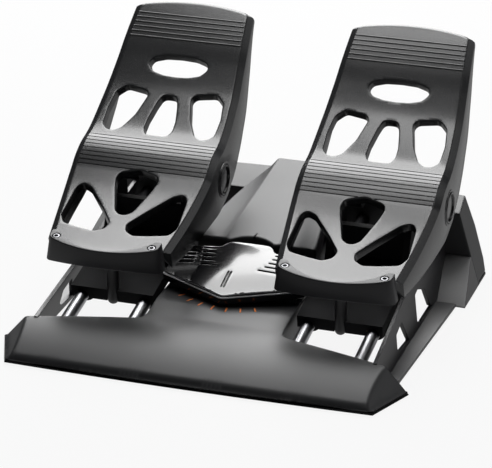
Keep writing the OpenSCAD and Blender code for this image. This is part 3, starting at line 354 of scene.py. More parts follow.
def triangles(points, edges, loops, eps):
    """Triangulates points with fixed edges; keeps what lies in the first loop and in none of the others."""
    co, _, tris, orig, _, _ = delaunay_2d_cdt([Vector(p) for p in points], edges, [], 0, eps)
    co = np.array([tuple(v) for v in co])
    tris = np.array([tuple(t) for t in tris])
    centre = co[tris].mean(1)
    keep = inside(centre, loops[0])
    for q in loops[1:]:
        keep &= ~inside(centre, q)
    tris = tris[keep]
    turn = area2(co[tris[:, 0]], co[tris[:, 1]], co[tris[:, 2]])
    flat = np.abs(turn) < 1e-9
    return co, orig, tris[~flat], turn[~flat]


def ring_edges(ring):
    """Pairs of neighbours round a closed ring."""
    return [(ring[i], ring[(i + 1) % len(ring)]) for i in range(len(ring))]


def clear_of(pts, loops, edge, hole):
    """Which points lie in the first loop and in none of the others, by more than the two distances."""
    ok = inside(pts, loops[0]) & (far(pts, loops[0]) > edge)
    for q in loops[1:]:
        ok &= ~inside(pts, q) & (far(pts, q) > hole)
    return ok


def fill(loops, inner, inner_ids, up, eps):
    """Faces over the first loop less the others, looking up or down.

    Each loop comes as its points and their vertex numbers, and so do the points between them."""
    points, ids, edges = [], [], []
    for q, ring in loops:
        edges += ring_edges(range(len(points), len(points) + len(q)))
        points += list(q)
        ids += ring
    points += list(inner)
    ids += inner_ids
    _, orig, tris, turn = triangles(points, edges, [q for q, _ in loops], eps)
    faces = []
    for t, area in zip(tris, turn):
        if all(orig[k] for k in t):
            q = tuple(ids[orig[k][0]] for k in t)
            faces.append(q if (area > 0) == up else q[::-1])
    return faces


def wall(a, b, flip=False):
    """Faces between two closed rings of vertex numbers."""
    n = len(a)
    faces = [(a[i], a[(i + 1) % n], b[(i + 1) % n], b[i]) for i in range(n)]
    return [f[::-1] for f in faces] if flip else faces


def walls(rings, flip=False):
    """Faces between each ring and the next."""
    return [f for a, b in zip(rings, rings[1:]) for f in wall(a, b, flip)]


def mesh(verts, faces):
    """A mesh from its vertices and faces."""
    me = bpy.data.meshes.new("piece")
    me.from_pydata([tuple(v) for v in verts], [], faces)
    me.update()
    return me


def add_piece(name, me, look, body, swaps=(), sharp=None):
    """Makes a mesh a named piece with its material that rides a body and stands in for nodes."""
    me.name = name
    o = bpy.data.objects.new(name, me)
    bpy.context.scene.collection.objects.link(o)
    dress(me, look, sharp)
    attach(o, body)
    if swaps:
        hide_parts(*swaps)
    return o


EDGE_STEPS = 5
LIP, TUCK, TUCK_IN, FOOT_OUT = 1.2, 0.35, 0.5, 1.2  # heights and insets of a slab's lower edge
GRID_CLEAR, EXTRA_APART, EXTRA_CLEAR = 0.35, 0.45, 0.4  # the first two as shares of the grid's step


def slab(outline, holes, top, bottom, r, hr=0.0, shift=0.0, deep=None, grid=0, foot_xy=None, extra=()):
    """A plate over an anticlockwise outline with holes, its upper edges rounded by r and hr.

    top and bottom give z at (x, y), foot_xy the outline's place at the bottom. Holes go through, or deep
    mm down. grid is the step of the points inside, extra are more of them on the top."""
    verts, faces = [], []

    def put(x, y, z):
        verts.append(P(x + shift, y, z))
        return len(verts) - 1

    def rounded(loop, rad, inward):
        """A rounded edge's rings, from its foot up onto the top, and the outline there."""
        nrm = normals(loop) * (1 if inward else -1)
        rings = []
        for k in range(EDGE_STEPS + 1):
            a = math.pi / 2 * k / EDGE_STEPS
            q = loop + nrm * (rad * (1 - math.cos(a)))
            rings.append([put(x, y, top(x, y) - rad * (1 - math.sin(a))) for x, y in q])
        return rings, q

    def cover(loops, up, z):
        """Closes the top or the bottom between its loops."""
        outlines = [q for q, _ in loops]
        g = []
        if grid:
            lo, hi = outlines[0].min(0), outlines[0].max(0)
            xs, ys = (np.arange(lo[k] + grid / 2, hi[k], grid) for k in (0, 1))
            g = np.array([(x, y) for x in xs for y in ys])
            g = g[clear_of(g, outlines, grid * GRID_CLEAR, grid * GRID_CLEAR)]
            if up and len(extra):
                e = np.array(extra)
                e = e[clear_of(e, outlines[:1], EXTRA_CLEAR, 0)]
                near = [np.min(np.abs(e[:, 0] - x) + np.abs(e[:, 1] - y)) for x, y in g]
                g = np.vstack([g[np.array(near) > grid * EXTRA_APART], e])
        faces.extend(fill(loops, g, [put(x, y, z(x, y)) for x, y in g], up, 1e-5))

    edge, q = rounded(outline, r, True)
    tops = [(q, edge[-1])]
    spread = np.array([foot_xy(x, y) for x, y in outline]) if foot_xy else outline
    low_z = [bottom(x, y) for x, y in outline]
    lip = [put(x, y, z + LIP) for (x, y), z in zip(spread, low_z)]
    tuck = spread + normals(spread) * TUCK_IN
    tuck = [put(x, y, z + TUCK) for (x, y), z in zip(tuck, low_z)]
    spread = spread + normals(spread) * FOOT_OUT
    foot = [put(x, y, z) for (x, y), z in zip(spread, low_z)]
    faces += walls([foot, tuck, lip] + edge)
    lows = [(spread, foot)]
    for q in holes:
        edge, rim = rounded(q, hr, False)
        tops.append((rim, edge[-1]))
        if deep is None:
            ground = [put(x, y, bottom(x, y)) for x, y in q]
            lows.append((q, ground))
        else:
            ground = [put(x, y, top(x, y) - deep) for x, y in q]
            cx, cy = q.mean(0)
            k = put(cx, cy, top(cx, cy) - deep)
            faces += [(i, j, k) for i, j in ring_edges(ground)]
        faces += walls([ground] + edge, True)
    cover(tops, True, top)
    cover(lows, False, bottom)
    return mesh(verts, faces)


def lathe(centre, axis, prof, n=56):
    """Turns a profile of (along, radius) about an axis through a measured place."""
    ax = Vector(axis).normalized()
    u = ax.orthogonal().normalized()
    v = ax.cross(u)
    c = P(*centre)
    verts, rings, faces = [], [], []
    for h, rad in prof:
        angles = [2 * math.pi * k / n for k in range(n)] if rad else [0.0]
        rings.append(list(range(len(verts), len(verts) + len(angles))))
        verts += [c + ax * (h / 1000) + (u * math.cos(a) + v * math.sin(a)) * (rad / 1000) for a in angles]
    for a, b in zip(rings, rings[1:]):
        faces += [(i, j, b[0]) for i, j in ring_edges(a)] if len(b) == 1 else wall(a, b)
    return mesh(verts, faces)


def ribbon(path, inner, outer, low, high):
    """A thin strip along an open path, from inner to outer on its left, between two height functions."""
    d = np.gradient(path, axis=0)
    d /= np.linalg.norm(d, axis=1)[:, None]
    n = np.stack([-d[:, 1], d[:, 0]], 1)
    verts = []
    for p, q in zip(path, n):
        a, b = p + q * inner, p + q * outer
        for (x, y), f in ((a, low), (a, high), (b, high), (b, low)):
            verts.append(P(x, y, f(x, y)))
    rings = [list(range(k, k + 4)) for k in range(0, len(verts), 4)]
    return mesh(verts, walls(rings) + [tuple(rings[0][::-1]), tuple(rings[-1])])


# Foot plates

# The face starts at HEEL_Y, HEEL_Z and goes RUN back and RISE up. FACE has shares of both, WIDE and DEEP the
# shares of the half width and of the side walls' depth at the same places.
RUN, RISE, HEEL_Y, HEEL_Z, HALF, DEPTH = 280.0, 157.0, 72.0, 72.0, 68.5, 58.0
FACE = [(0.03, 0.021), (0.1, 0.054), (0.225, 0.13), (0.332, 0.21), (0.42, 0.29), (0.479, 0.3475),
        (0.54, 0.3955), (0.586, 0.426), (0.636, 0.475), (0.69, 0.537), (0.743, 0.604), (0.814, 0.715),
        (0.877, 0.822), (0.946, 0.927), (1, 1)]
WIDE = [0.8, 0.85, 0.92, 0.97, 1, 1, 1, 0.993, 0.985, 0.972, 0.955, 0.925, 0.9, 0.872, 0.85]
DEEP = [0.26, 0.34, 0.53, 0.7, 0.87, 0.93, 0.93, 0.88, 0.8, 0.72, 0.63, 0.48, 0.34, 0.2, 0.15]
CURVE_STEPS = 24
DEPTH_MIN = 9.0
PLATE = 8.0
BEVEL_X, BEVEL_D = 5.5, 4.6
BAND, TOES = (189.6, 223.3), (317.5, 337.0)
BULGE, BULGE_MARGIN = 2.2, 1.5
# rows of ribs: from and to, how many, half width, height, points across a rib, and between two as shares
RIB_ROWS = (
    (BAND, 9, 0.55, -1.0, (-0.56, -0.4, -0.15, 0.15, 0.4, 0.56), (0.3, 0.5, 0.7)),
    (TOES, 6, 0.8, 0.85, (-0.81, -0.65, -0.35, 0.0, 0.35, 0.65, 0.81), (0.35, 0.65)),
)
RIB_FADE = 1.2
ROW_STEP, ROW_CLEAR, GRID_HALF = 2.6, 2.1, 1.3
SIDE_INSETS = (1.35, 1.15, 2.0)  # more points beside the slanted edges
CLEAR_SIDE, CLEAR_EDGE, CLEAR_TOE, CLEAR_HOLE = 1.05, 1.1, 3.9, 0.35
# windows as shares of HALF and RUN; those that start right of the middle are mirrored too
WINDOWS = [
    [(-0.435, 0.804), (-0.385, 0.821), (-0.22, 0.83), (0, 0.832), (0.22, 0.83), (0.385, 0.821),
     (0.435, 0.804), (0.34, 0.784), (0.18, 0.776), (0, 0.774), (-0.18, 0.776), (-0.34, 0.784)],
    [(0.31, 0.712), (0.36, 0.726), (0.65, 0.735), (0.77, 0.711), (0.81, 0.654), (0.8, 0.593),
     (0.73, 0.575), (0.63, 0.568), (0.525, 0.586), (0.4, 0.64)],
    [(-0.1, 0.716), (0.1, 0.716), (0.15, 0.68), (0.195, 0.63), (0.2, 0.593), (0.15, 0.566),
     (-0.15, 0.566), (-0.2, 0.593), (-0.195, 0.63), (-0.15, 0.68)],
    [(-0.27, 0.405), (0, 0.42), (0.27, 0.405), (0.295, 0.382), (0.25, 0.343), (0.12, 0.254),
     (0.045, 0.239), (-0.045, 0.239), (-0.12, 0.254), (-0.25, 0.343), (-0.295, 0.382)],
    [(0.72, 0.35), (0.785, 0.325), (0.81, 0.207), (0.74, 0.175), (0.47, 0.161), (0.27, 0.154),
     (0.15, 0.171), (0.12, 0.2), (0.32, 0.264), (0.58, 0.335)],
]
WINDOW_CORNER, WINDOW_STEP, WINDOW_EDGE, WINDOW_DRAFT = 5.5, 1.2, 1.15, 0.5
ROUND_SHARES = [0.0, 0.12, 0.35, 0.65, 1.0]
# outline: the heel's arc, the sides and the arched toe
HEEL_R, HEEL_CENTRE, HEEL_GAP, HEEL_CORNER, HEEL_END = 103.0, 178.0, 0.6, (52.4, 52.0), 103.0
HEEL_HALF, SIDE_START, TOE_START, TOE_SET, TOE_HALF, TOE_ARCH = 50.0, 101.5, 9.0, 0.8, 0.85, 8.0
OUTLINE_STEP, UNDER_STEP, UNDER_HALF, UNDER_CLEAR = 1.6, 5.0, 65, (2, 1.5)
# edges and side walls
EDGE_R, TOE_R, HEEL_EDGE_R = 1.0, 2.6, 0.3  # edge radius, what the toe adds, and the heel's
TOE_ZONE, HEEL_ZONE, TOE_TURN = (14, 6), 3, (2.2, 0.6)
TOE_DROP, BEVEL_LINE = 0.6, 0.97
BEVEL_ROW = (0.1, 0.55, 0.12, 0.9)  # first row of the slanted edge, as shares
WALL_STEP, TOE_WALL, WALL_THICK, TOE_THICK, WALL_IN = 0.7, 8.4, 2.6, 2.0, 1.15
WALL_LIP, LIP_SHARE, LIP_LEAN, LIP_STEPS = 1.3, 0.4, 0.7, 6
PIVOT_Y, PIVOT_Z = 226.7, 102.2
# bosses for the pivot bushes inside the side walls and collars round the caps outside, as (|x|, radius)
BOSS = [(66.0, 11.2), (55.0, 11.2), (55.0, 16.2), (55.5, 16.7), (66.0, 16.7)]
COLLAR = [(66.0, 16.9), (68.5, 16.9), (68.95, 16.75), (69.2, 16.3), (69.2, 15.3), (68.95, 14.9),
          (68.5, 14.75), (66.0, 14.75)]
BOSS_SIDES = 64


class Face:
    """The pedal's S-shaped face as a curve, with its arc length, half width and side wall depth."""

    def __init__(self):
        f = catmull([np.array(p) for p in FACE], CURVE_STEPS)
        self.y = HEEL_Y + f[:, 0] * RUN
        self.zb = HEEL_Z + f[:, 1] * RISE
        mid, half = sum(BAND) / 2, (BAND[1] - BAND[0]) / 2 + BULGE_MARGIN
        self.z = self.zb + BULGE * np.maximum(0, 1 - ((self.y - mid) / half) ** 2)
        self.w = catmull([np.array(v) for v in WIDE], CURVE_STEPS) * HALF
        self.d = catmull([np.array(v) for v in DEEP], CURVE_STEPS) * DEPTH
        seg = np.hypot(np.diff(self.y), np.diff(self.z))
        self.s = np.concatenate([[0], np.cumsum(seg)])
        self.th = self.turn(self.z)
        self.thb = self.turn(self.zb)
        self.end = self.s[-1]

    def turn(self, z):
        """Softened slope angle along the curve."""
        t = np.arctan2(np.gradient(z), np.gradient(self.y))
        k = np.array([1, 2, 3, 2, 1]) / 9
        return np.convolve(np.pad(t, 2, mode="edge"), k, mode="valid")

    def s_of(self, y):
        return np.interp(y, self.y, self.s)

    def width(self, s):
        return np.interp(s, self.s, self.w)

    def at(self, s, h):
        """(y, z) of the point h above the face at arc length s."""
        s = np.asarray(s, float)
        over = s - np.clip(s, 0, self.end)
        y, z, t = (np.interp(s, self.s, v) for v in (self.y, self.z, self.th))
        return y + over * np.cos(t) - np.sin(t) * h, z + over * np.sin(t) + np.cos(t) * h

    def low(self, s):
        """(y, z) of the side wall's lower edge."""
        y, z, t, d = (np.interp(s, self.s, v) for v in (self.y, self.zb, self.thb, self.d))
        d = np.maximum(d, DEPTH_MIN)
        return y + np.sin(t) * d, z - np.cos(t) * d


def fillet(d, r):
    """Drop of a rounded edge of radius r at distance d inside it."""
    k = np.clip(r - d, 0, r)
    return r - np.sqrt(np.maximum(r * r - k * k, 0))


def ribs(face, x, s):
    """Height of the grip ribs at a place on the face."""
    h = np.zeros(len(s))
    fade = np.clip((face.width(s) - BEVEL_X - np.abs(x)) / RIB_FADE, 0, 1) ** 0.5
    for (y0, y1), count, half, height, _, _ in RIB_ROWS:
        first = face.s_of(y0)
        pitch = (face.s_of(y1) - first) / (count - 1)
        t = (s - first) / pitch
        k = np.round(t)
        v = np.abs(t - k) * pitch
        on = (k > -0.5) & (k < count - 0.5) & (v < half)
        h = np.where(on, height * np.sqrt(np.clip(1 - (v / half) ** 2, 0, 1)), h)
    return h * fade


def face_rows(face):
    """Arc lengths of the rows of points on the face, closer where the ribs are."""
    rows = set(np.round(np.arange(0, face.end, ROW_STEP), 3))
    for (y0, y1), count, _, _, across, gaps in RIB_ROWS:
        first, last = face.s_of(y0), face.s_of(y1)
        pitch = (last - first) / (count - 1)
        rows = {r for r in rows if not first - ROW_CLEAR < r < last + ROW_CLEAR}
        for k in range(count):
            c = first + k * pitch
            rows.update(c + o for o in across)
            if k < count - 1:
                rows.update(c + pitch * o for o in gaps)
    return sorted(rows)


def face_grid(face, loop, holes):
    """Points over the face that keep clear of its outline and windows."""
    grid = []
    for s in face_rows(face):
        w = float(face.width(s))
        n = int(round(w / GRID_HALF))
        grid += [(x, s) for x in np.linspace(-w, w, 2 * (n // 2) + 1)]
        for o in SIDE_INSETS:
            x = w - BEVEL_X - o
            grid += [(x, s), (-x, s)]
    grid = np.array(grid)
    clear = np.interp(grid[:, 1], [face.end - 16, face.end - 8], [CLEAR_EDGE, CLEAR_TOE])
    near_side = (face.width(grid[:, 1]) - BEVEL_X - np.abs(grid[:, 0])) < CLEAR_SIDE
    clear = np.where(near_side, CLEAR_SIDE, clear)
    return grid[clear_of(grid, [loop] + holes, clear, WINDOW_EDGE + CLEAR_HOLE)]


def plate_outline(face):
    """Outer edge of the face, anticlockwise seen from above, in (x, s)."""
    arch_r = ((HALF * TOE_HALF) ** 2 + TOE_ARCH ** 2) / (2 * TOE_ARCH)

    def heel_s(x):
        return float(face.s_of(HEEL_CENTRE - math.sqrt(HEEL_R ** 2 - x * x) + HEEL_GAP))

    def toe_s(x):
        return float(face.end - TOE_SET - (arch_r - math.sqrt(arch_r ** 2 - x * x)))

    def side_x(s):
        return float(face.width(s)) - BEVEL_X

    side_end = face.end - TOE_START
    right = [(HEEL_CORNER[0], heel_s(HEEL_CORNER[1]))]
    right += [(side_x(s), s) for s in np.linspace(face.s_of(SIDE_START), side_end, 150)]
    toe_x = side_x(side_end) - 3.0
    toe = [(x, toe_s(x)) for x in np.linspace(toe_x, -toe_x, 60)]
    left = [(-x, s) for x, s in reversed(right)]
    heel = [(x, heel_s(x)) for x in np.linspace(-HEEL_HALF, HEEL_HALF, 50)]
    return smooth(resample(np.array(right + toe + left + heel), OUTLINE_STEP), 2)


def plate_windows(face):
    """Outlines of the windows, clockwise, in (x, s)."""
    holes = []
    for shares in WINDOWS:
        for m in ((1, -1) if shares[0][0] > 0 else (1,)):
            pts = [(m * a * HALF, face.s_of(HEEL_Y + b * RUN)) for a, b in shares]
            q = resample(round_poly(pts[::m], WINDOW_CORNER), WINDOW_STEP)
            if np.sum(q[:, 0] * np.roll(q[:, 1], -1) - q[:, 1] * np.roll(q[:, 0], -1)) > 0:
                q = q[::-1].copy()
            holes.append(smooth(q, 2))
    return holes


def foot_plate(side):
    """The shell of a foot plate, from the ribbed face round its edges and windows to the underside."""
    face = Face()
    loop = plate_outline(face)
    holes = plate_windows(face)
    nrm = normals(loop)
    toeness = np.clip((loop[:, 1] - (face.end - TOE_ZONE[0])) / TOE_ZONE[1], 0, 1)
    toeness = toeness * np.clip(np.abs(nrm[:, 1]) * TOE_TURN[0] - TOE_TURN[1], 0, 1)
    heelness = np.clip((face.s_of(HEEL_END) - loop[:, 1]) / HEEL_ZONE, 0, 1)
    sideness = (1 - toeness) * (1 - heelness)
    rad = (EDGE_R + TOE_R * toeness) * (1 - heelness) + HEEL_EDGE_R * heelness
    # the face: rings of the rounded edges, and points between them
    pts, heights = [], []

    def add(p, h):
        pts.extend(map(tuple, p))
        heights.extend(h)
        return list(range(len(pts) - len(p), len(pts)))

    outer_rings = [add(loop + nrm * (rad * f)[:, None], -fillet(rad * f, rad)) for f in ROUND_SHARES]
    hole_rings = []
    for q in holes:
        falls = [np.full(len(q), WINDOW_EDGE * f) for f in ROUND_SHARES]
        hole_rings.append([add(q + normals(q) * d[:, None], -fillet(d, WINDOW_EDGE)) for d in falls])
    grid = face_grid(face, loop, holes)
    add(grid, ribs(face, grid[:, 0], grid[:, 1]))
    edges = [e for rings in [outer_rings] + hole_rings for ring in rings for e in ring_edges(ring)]
    co, orig, tris, turn = triangles(pts, edges, [loop] + holes, 1e-4)
    tris[turn < 0] = tris[turn < 0][:, ::-1]
    back = {k: i for i, known in enumerate(orig) for k in known}
    ys, zs = face.at(co[:, 1], np.array([heights[known[0]] if known else 0.0 for known in orig]))
    verts, faces = [], [tuple(t) for t in tris]

    def place(x, y, z):
        verts.append(P(x + side * PEDAL_X, float(y), float(z)))
        return len(verts) - 1

    for (x, _), y, z in zip(co, ys, zs):
        place(x, y, z)
    # the rim: slanted edge, side wall, its rounded lower edge, and inside up to the plate's underside
    rim = [[] for _ in range(LIP_STEPS + 5)]
    for i, (x, s) in enumerate(loop):
        right = 1 if x > 0 else -1
        side_share, end_share = sideness[i], 1 - sideness[i]
        # the sides go straight out in x, the toe goes out along its normal
        nx, ns = -nrm[i]
        over_x = side_share * right * BEVEL_X + end_share * nx * (1 - heelness[i])
        over_s = end_share * ns * (1 - heelness[i])
        out_x, out_s = x + over_x, s + over_s
        drop = side_share * BEVEL_D + end_share * (rad[i] + TOE_DROP)
        row_x, row_s, row_drop, rounded = BEVEL_ROW
        rounded = rad[i] * rounded
        row_drop = rounded + (drop - rounded) * row_drop
        rim[0].append(place(x + over_x * row_x, *face.at(s + over_s * row_s, -row_drop)))
        rim[1].append(place(x + over_x * BEVEL_LINE, *face.at(out_s, -drop)))
        yw, zw = face.at(out_s, -drop - WALL_STEP)
        rim[2].append(place(out_x, yw, zw))
        (yl, zl), (yt, zt) = face.low(out_s), face.at(out_s, -TOE_WALL)
        yl, zl = side_share * yl + end_share * yt, side_share * zl + end_share * zt
        thick_x = side_share * -right * WALL_THICK - end_share * nx * TOE_THICK
        thick_s = -end_share * ns * TOE_THICK
        dy, dz = yl - yw, zl - zw
        length = max(math.hypot(dy, dz), 0.1)
        dy, dz = dy / length, dz / length
        lip = min(WALL_LIP, length * LIP_SHARE) * side_share
        for k in range(LIP_STEPS + 1):
            a = math.pi * k / LIP_STEPS
            u, v = (1 - math.cos(a)) / 2, lip * (1 - math.sin(a))
            rim[3 + k].append(place(out_x + thick_x * u, yl + thick_s * LIP_LEAN * u - dy * v, zl - dz * v))
        rim[-1].append(place(out_x + thick_x * WALL_IN, *face.at(out_s + thick_s, -PLATE)))
    faces += walls([[back[k] for k in outer_rings[0]]] + rim, True)
    # window walls, drawn in slightly toward the underside
    inner = [(verts[k].x * 1000 - side * PEDAL_X) for k in rim[-1]]
    inner_s = loop[:, 1] + (1 - sideness) * (-nrm[:, 1] * (1 - heelness) + nrm[:, 1] * TOE_THICK)
    under = [(np.stack([inner, inner_s], 1), rim[-1])]
    for q, rings in zip(holes, hole_rings):
        q = q - normals(q) * WINDOW_DRAFT
        low = [place(x, *face.at(s, -PLATE)) for x, s in q]
        faces += wall(low, [back[k] for k in rings[0]])
        under.append((q, low))
    # underside
    g = np.array([(x, s) for s in np.arange(2, face.end, UNDER_STEP)
                  for x in np.arange(-UNDER_HALF, UNDER_HALF + 0.1, UNDER_STEP)])
    g = g[clear_of(g, [q for q, _ in under], *UNDER_CLEAR)]
    faces += fill(under, g, [place(x, *face.at(s, -PLATE)) for x, s in g], False, 1e-4)
    angles = [2 * math.pi * k / BOSS_SIDES for k in range(BOSS_SIDES)]
    for m in (-1, 1):
        for prof in (BOSS, COLLAR):
            rings = [[place(m * x, y, z) for y, z in arc(PIVOT_Y, PIVOT_Z, r, angles)] for x, r in prof]
            faces += walls(rings, m < 0)
    return mesh(verts, faces)


# Heel cups, screws and pivot caps
CUP_HALF, CUP_R, CUP_CORNER, CUP_FRONT, CUP_BACK = 52.4, 106.0, 8.0, 75.0, 101.0
SCOOP_R, SCOOP_Y = 57.0, 77.4
CUP_TOP, CUP_SLOPE, CUP_LOW, CUP_SAG = 84.0, 0.178, 67.0, 4.5
CUP_SPREAD, SPREAD_FROM, SCOOP_NEAR = 3.4, 44.0, 0.8
CUP_THICK, SCOOP_Z, SCOOP_SLOPE, SCOOP_AT = 3.0, 76.5, 0.2, 80
CUP_EDGE, HOLE_EDGE, HOLE_DEEP = 1.0, 0.45, 1.5
SCREW_X, SCREW_Y, SCREW_HOLE, SCREW_SUNK, SCREW_LEAN = 45.4, 91.3, 3.9, 0.6, (0, -0.175, 1)
# turned shapes as (along the axis, radius)
SCREW_SHAPE = [(-1.4, 3.3), (0.0, 3.3), (0.35, 3.15), (0.5, 2.85), (0.5, 2.05), (0.3, 1.85), (-1.1, 1.75),
               (-1.1, 0.0)]
CAP_X = 65.6
CAP_SHAPE = [(0, 14.4), (3.3, 14.4), (4.0, 14.1), (4.35, 13.5), (4.2, 12.9), (3.7, 12.5), (2.45, 12.2),
             (2.4, 11.8), (2.6, 11.4), (2.8, 10.4), (3.05, 7.5), (3.2, 4.0), (3.25, 0.0)]


def cup_top(x, y):
    return CUP_TOP + (y - CUP_FRONT) * CUP_SLOPE


def heel_cup(side):
    """Heel cup: a bowed front with round corners and a scooped rear edge."""
    cy = CUP_FRONT + CUP_R
    kx = CUP_HALF - CUP_CORNER
    ky = cy - math.sqrt((CUP_R - CUP_CORNER) ** 2 - kx ** 2)
    turn = math.asin(kx / (CUP_R - CUP_CORNER))
    left, right = 1.5 * math.pi - turn, 1.5 * math.pi + turn
    pts = [(-CUP_HALF, CUP_BACK)]
    pts += arc(-kx, ky, CUP_CORNER, np.linspace(math.pi, left, 14))
    pts += arc(0, cy, CUP_R, np.linspace(left, right, 60)[1:-1])
    pts += arc(kx, ky, CUP_CORNER, np.linspace(right, 2 * math.pi, 14))
    pts += [(CUP_HALF, CUP_BACK)]
    sc = SCOOP_Y + SCOOP_R
    xe = math.sqrt(SCOOP_R ** 2 - (sc - CUP_BACK) ** 2)
    ae = math.atan2(CUP_BACK - sc, xe)
    pts += arc(0, sc, SCOOP_R, np.linspace(ae, -math.pi - ae, 60))
    loop = smooth(resample(np.array(pts), 1.1), 3)
    holes = [circle(m * SCREW_X, SCREW_Y, SCREW_HOLE, 32) for m in (-1, 1)]

    def at_scoop(x, y):
        return math.hypot(x, y - sc) - SCOOP_R <= SCOOP_NEAR

    def bottom(x, y):
        """The front wall reaches low, the scooped edge only down to the foot plate's face."""
        if at_scoop(x, y):
            return min(cup_top(x, y) - CUP_THICK, SCOOP_Z + SCOOP_SLOPE * (y - SCOOP_AT))
        return CUP_LOW - CUP_SAG * (x / CUP_HALF) ** 2

    def flare(x, y):
        """The front wall spreads sideways toward its foot."""
        return x + (0.0 if at_scoop(x, y) else max(-1, min(1, x / SPREAD_FROM)) * CUP_SPREAD), y

    return slab(loop, holes, cup_top, bottom, CUP_EDGE, HOLE_EDGE, side * PEDAL_X, HOLE_DEEP, foot_xy=flare)


for nm, sd in SIDES:
    pedal = nm + "_pedal"
    add_piece(nm + "_cup_shell", heel_cup(sd), "cup", pedal, (nm + "_heel_cup",), sharp=38)
    for i, m in enumerate((-1, 1)):
        c = (sd * PEDAL_X + m * SCREW_X, SCREW_Y, cup_top(0, SCREW_Y) - SCREW_SUNK)
        add_piece("%s_screw_%d" % (nm, i + 1), lathe(c, SCREW_LEAN, SCREW_SHAPE), "screw", pedal,
                  (nm + "_heel_screws",), sharp=40)
        c = (sd * PEDAL_X + m * CAP_X, PIVOT_Y, PIVOT_Z)
        add_piece("%s_cap_%d" % (nm, i + 1), lathe(c, (m, 0, 0), CAP_SHAPE, 72), "cap", pedal,
                  (nm + "_pivot_caps",), sharp=50)

for nm, sd in SIDES:
    add_piece(nm + "_foot_shell", foot_plate(sd), "pedal", nm + "_pedal", (nm + "_foot_plate",),
              sharp=38)


# Front deck with its sill
SILL_HALF, TIP_HALF, SIDE_Y, DECK_HALF, DECK_END = 169.0, 167.5, 48.0, 64.0, 289.7
SILL_BOW = 3.0
BOW_R = (SILL_HALF ** 2 + SILL_BOW ** 2) / (2 * SILL_BOW)
# right outline from the sill's tip along its rear edge, round the corner and along the deck's side
DECK_SIDE = [(SILL_HALF + 19.2, SIDE_Y), (TIP_HALF, SIDE_Y), (76.0, 69.3), (70.0, 71.2), (66.2, 74.0),
             (64.6, 78.5), (DECK_HALF, 84.0), (DECK_HALF, DECK_END)]
END_PLANE = (0.7234, -0.291, 0.6261)  # normal of the slanted cut at each end of the sill
LIP_Z, LIP_SLOPE, BLEND = 0.2, 1.46, 2.0
SILL_Y, SILL_RUN, SILL_Z, SILL_RISE, SILL_ARCH = 2.5, 69.5, 8.2, 18.3, 18.4
RISE_FROM, RISE_TO, RISE_SLOPE = 82.0, 106.0, 0.16
DECK_FLOOR, DECK_LOW, DECK_EDGE, CUT_TO = 2.0, 2.5, 0.45, 60
LIP_ROWS = (-0.4, 0.8, 1.7, 2.4, 3.0, 3.7, 4.6, 5.8)
CUT_OFFSETS = (-3.2, -1.9, -0.9, 0.0, 0.9, 1.9, 3.2)
HUB = 168.8
TICKS, TICK_STEP, TICK_TURN, TICK_R, TICK_HALF = 7, 11.5, -8.5, (61.5, 68.6), 0.8
TICK_SUNK, TICK_UP = 0.2, 0.12


def smooth_min(a, b, k):
    """The lesser of two heights, blended where they differ by less than k."""
    h = max(k - abs(a - b), 0.0) / k
    return min(a, b) - h * h * k / 4


def sill_top(y):
    """Slanted lip, then a flat bow up to the deck, which rises gently under the shield."""
    t = max(0.0, min(1.0, (y - SILL_Y) / SILL_RUN))
    bow = SILL_Z + SILL_RISE * t + SILL_ARCH * t * (1 - t)
    rise = max(0.0, min(y, RISE_TO) - RISE_FROM) * RISE_SLOPE
    return smooth_min(LIP_Z + (y - SILL_FRONT) * LIP_SLOPE, bow, BLEND) + rise


def end_top(x, y):
    """Height of the slanted cut at the sill's end."""
    return ((SILL_HALF - abs(x)) * END_PLANE[0] - y * END_PLANE[1]) / END_PLANE[2]


def deck_top(x, y):
    z = sill_top(y)
    if y < CUT_TO:
        z = smooth_min(z, end_top(x, y), BLEND)
    return max(DECK_LOW, z)


def front_deck():
    """The sill with its bowed front edge and the deck behind it, in one slab."""
    pts = [(x, SILL_FRONT + BOW_R - math.sqrt(BOW_R ** 2 - x * x))
           for x in np.linspace(-SILL_HALF, SILL_HALF, 120)]
    pts += DECK_SIDE + [(-x, y) for x, y in reversed(DECK_SIDE)]
    loop = smooth(resample(np.array(pts), 2.4), 1)
    # more points along the lip and along both slanted cuts
    more = [(x, y) for y in LIP_ROWS for x in np.arange(-170.0, 170.1, 4.0)]
    for y in np.arange(4.0, 47.0, 2.2):
        c = SILL_HALF - (sill_top(y) * END_PLANE[2] + y * END_PLANE[1]) / END_PLANE[0]
        more += [(m * (c + o), y) for m in (-1, 1) for o in CUT_OFFSETS]
    return slab(loop, [], deck_top, lambda x, y: DECK_FLOOR, DECK_EDGE, grid=3.8, extra=more)


add_piece("deck_shell", front_deck(), "base", "base", ("front_deck",), sharp=42)
for k in range(TICKS):
    a = math.radians((k - (TICKS - 1) / 2) * TICK_STEP + TICK_TURN)
    c = np.array([math.sin(a), -math.cos(a)])
    path = np.array([np.array([0.0, HUB]) + c * q for q in np.linspace(*TICK_R, 5)])
    tick = ribbon(path, -TICK_HALF, TICK_HALF, lambda x, y: deck_top(x, y) - TICK_SUNK,
                  lambda x, y: deck_top(x, y) + TICK_UP)
    add_piece("tick_%d" % (k + 1), tick, "orange", "base", ("scale_ticks",))


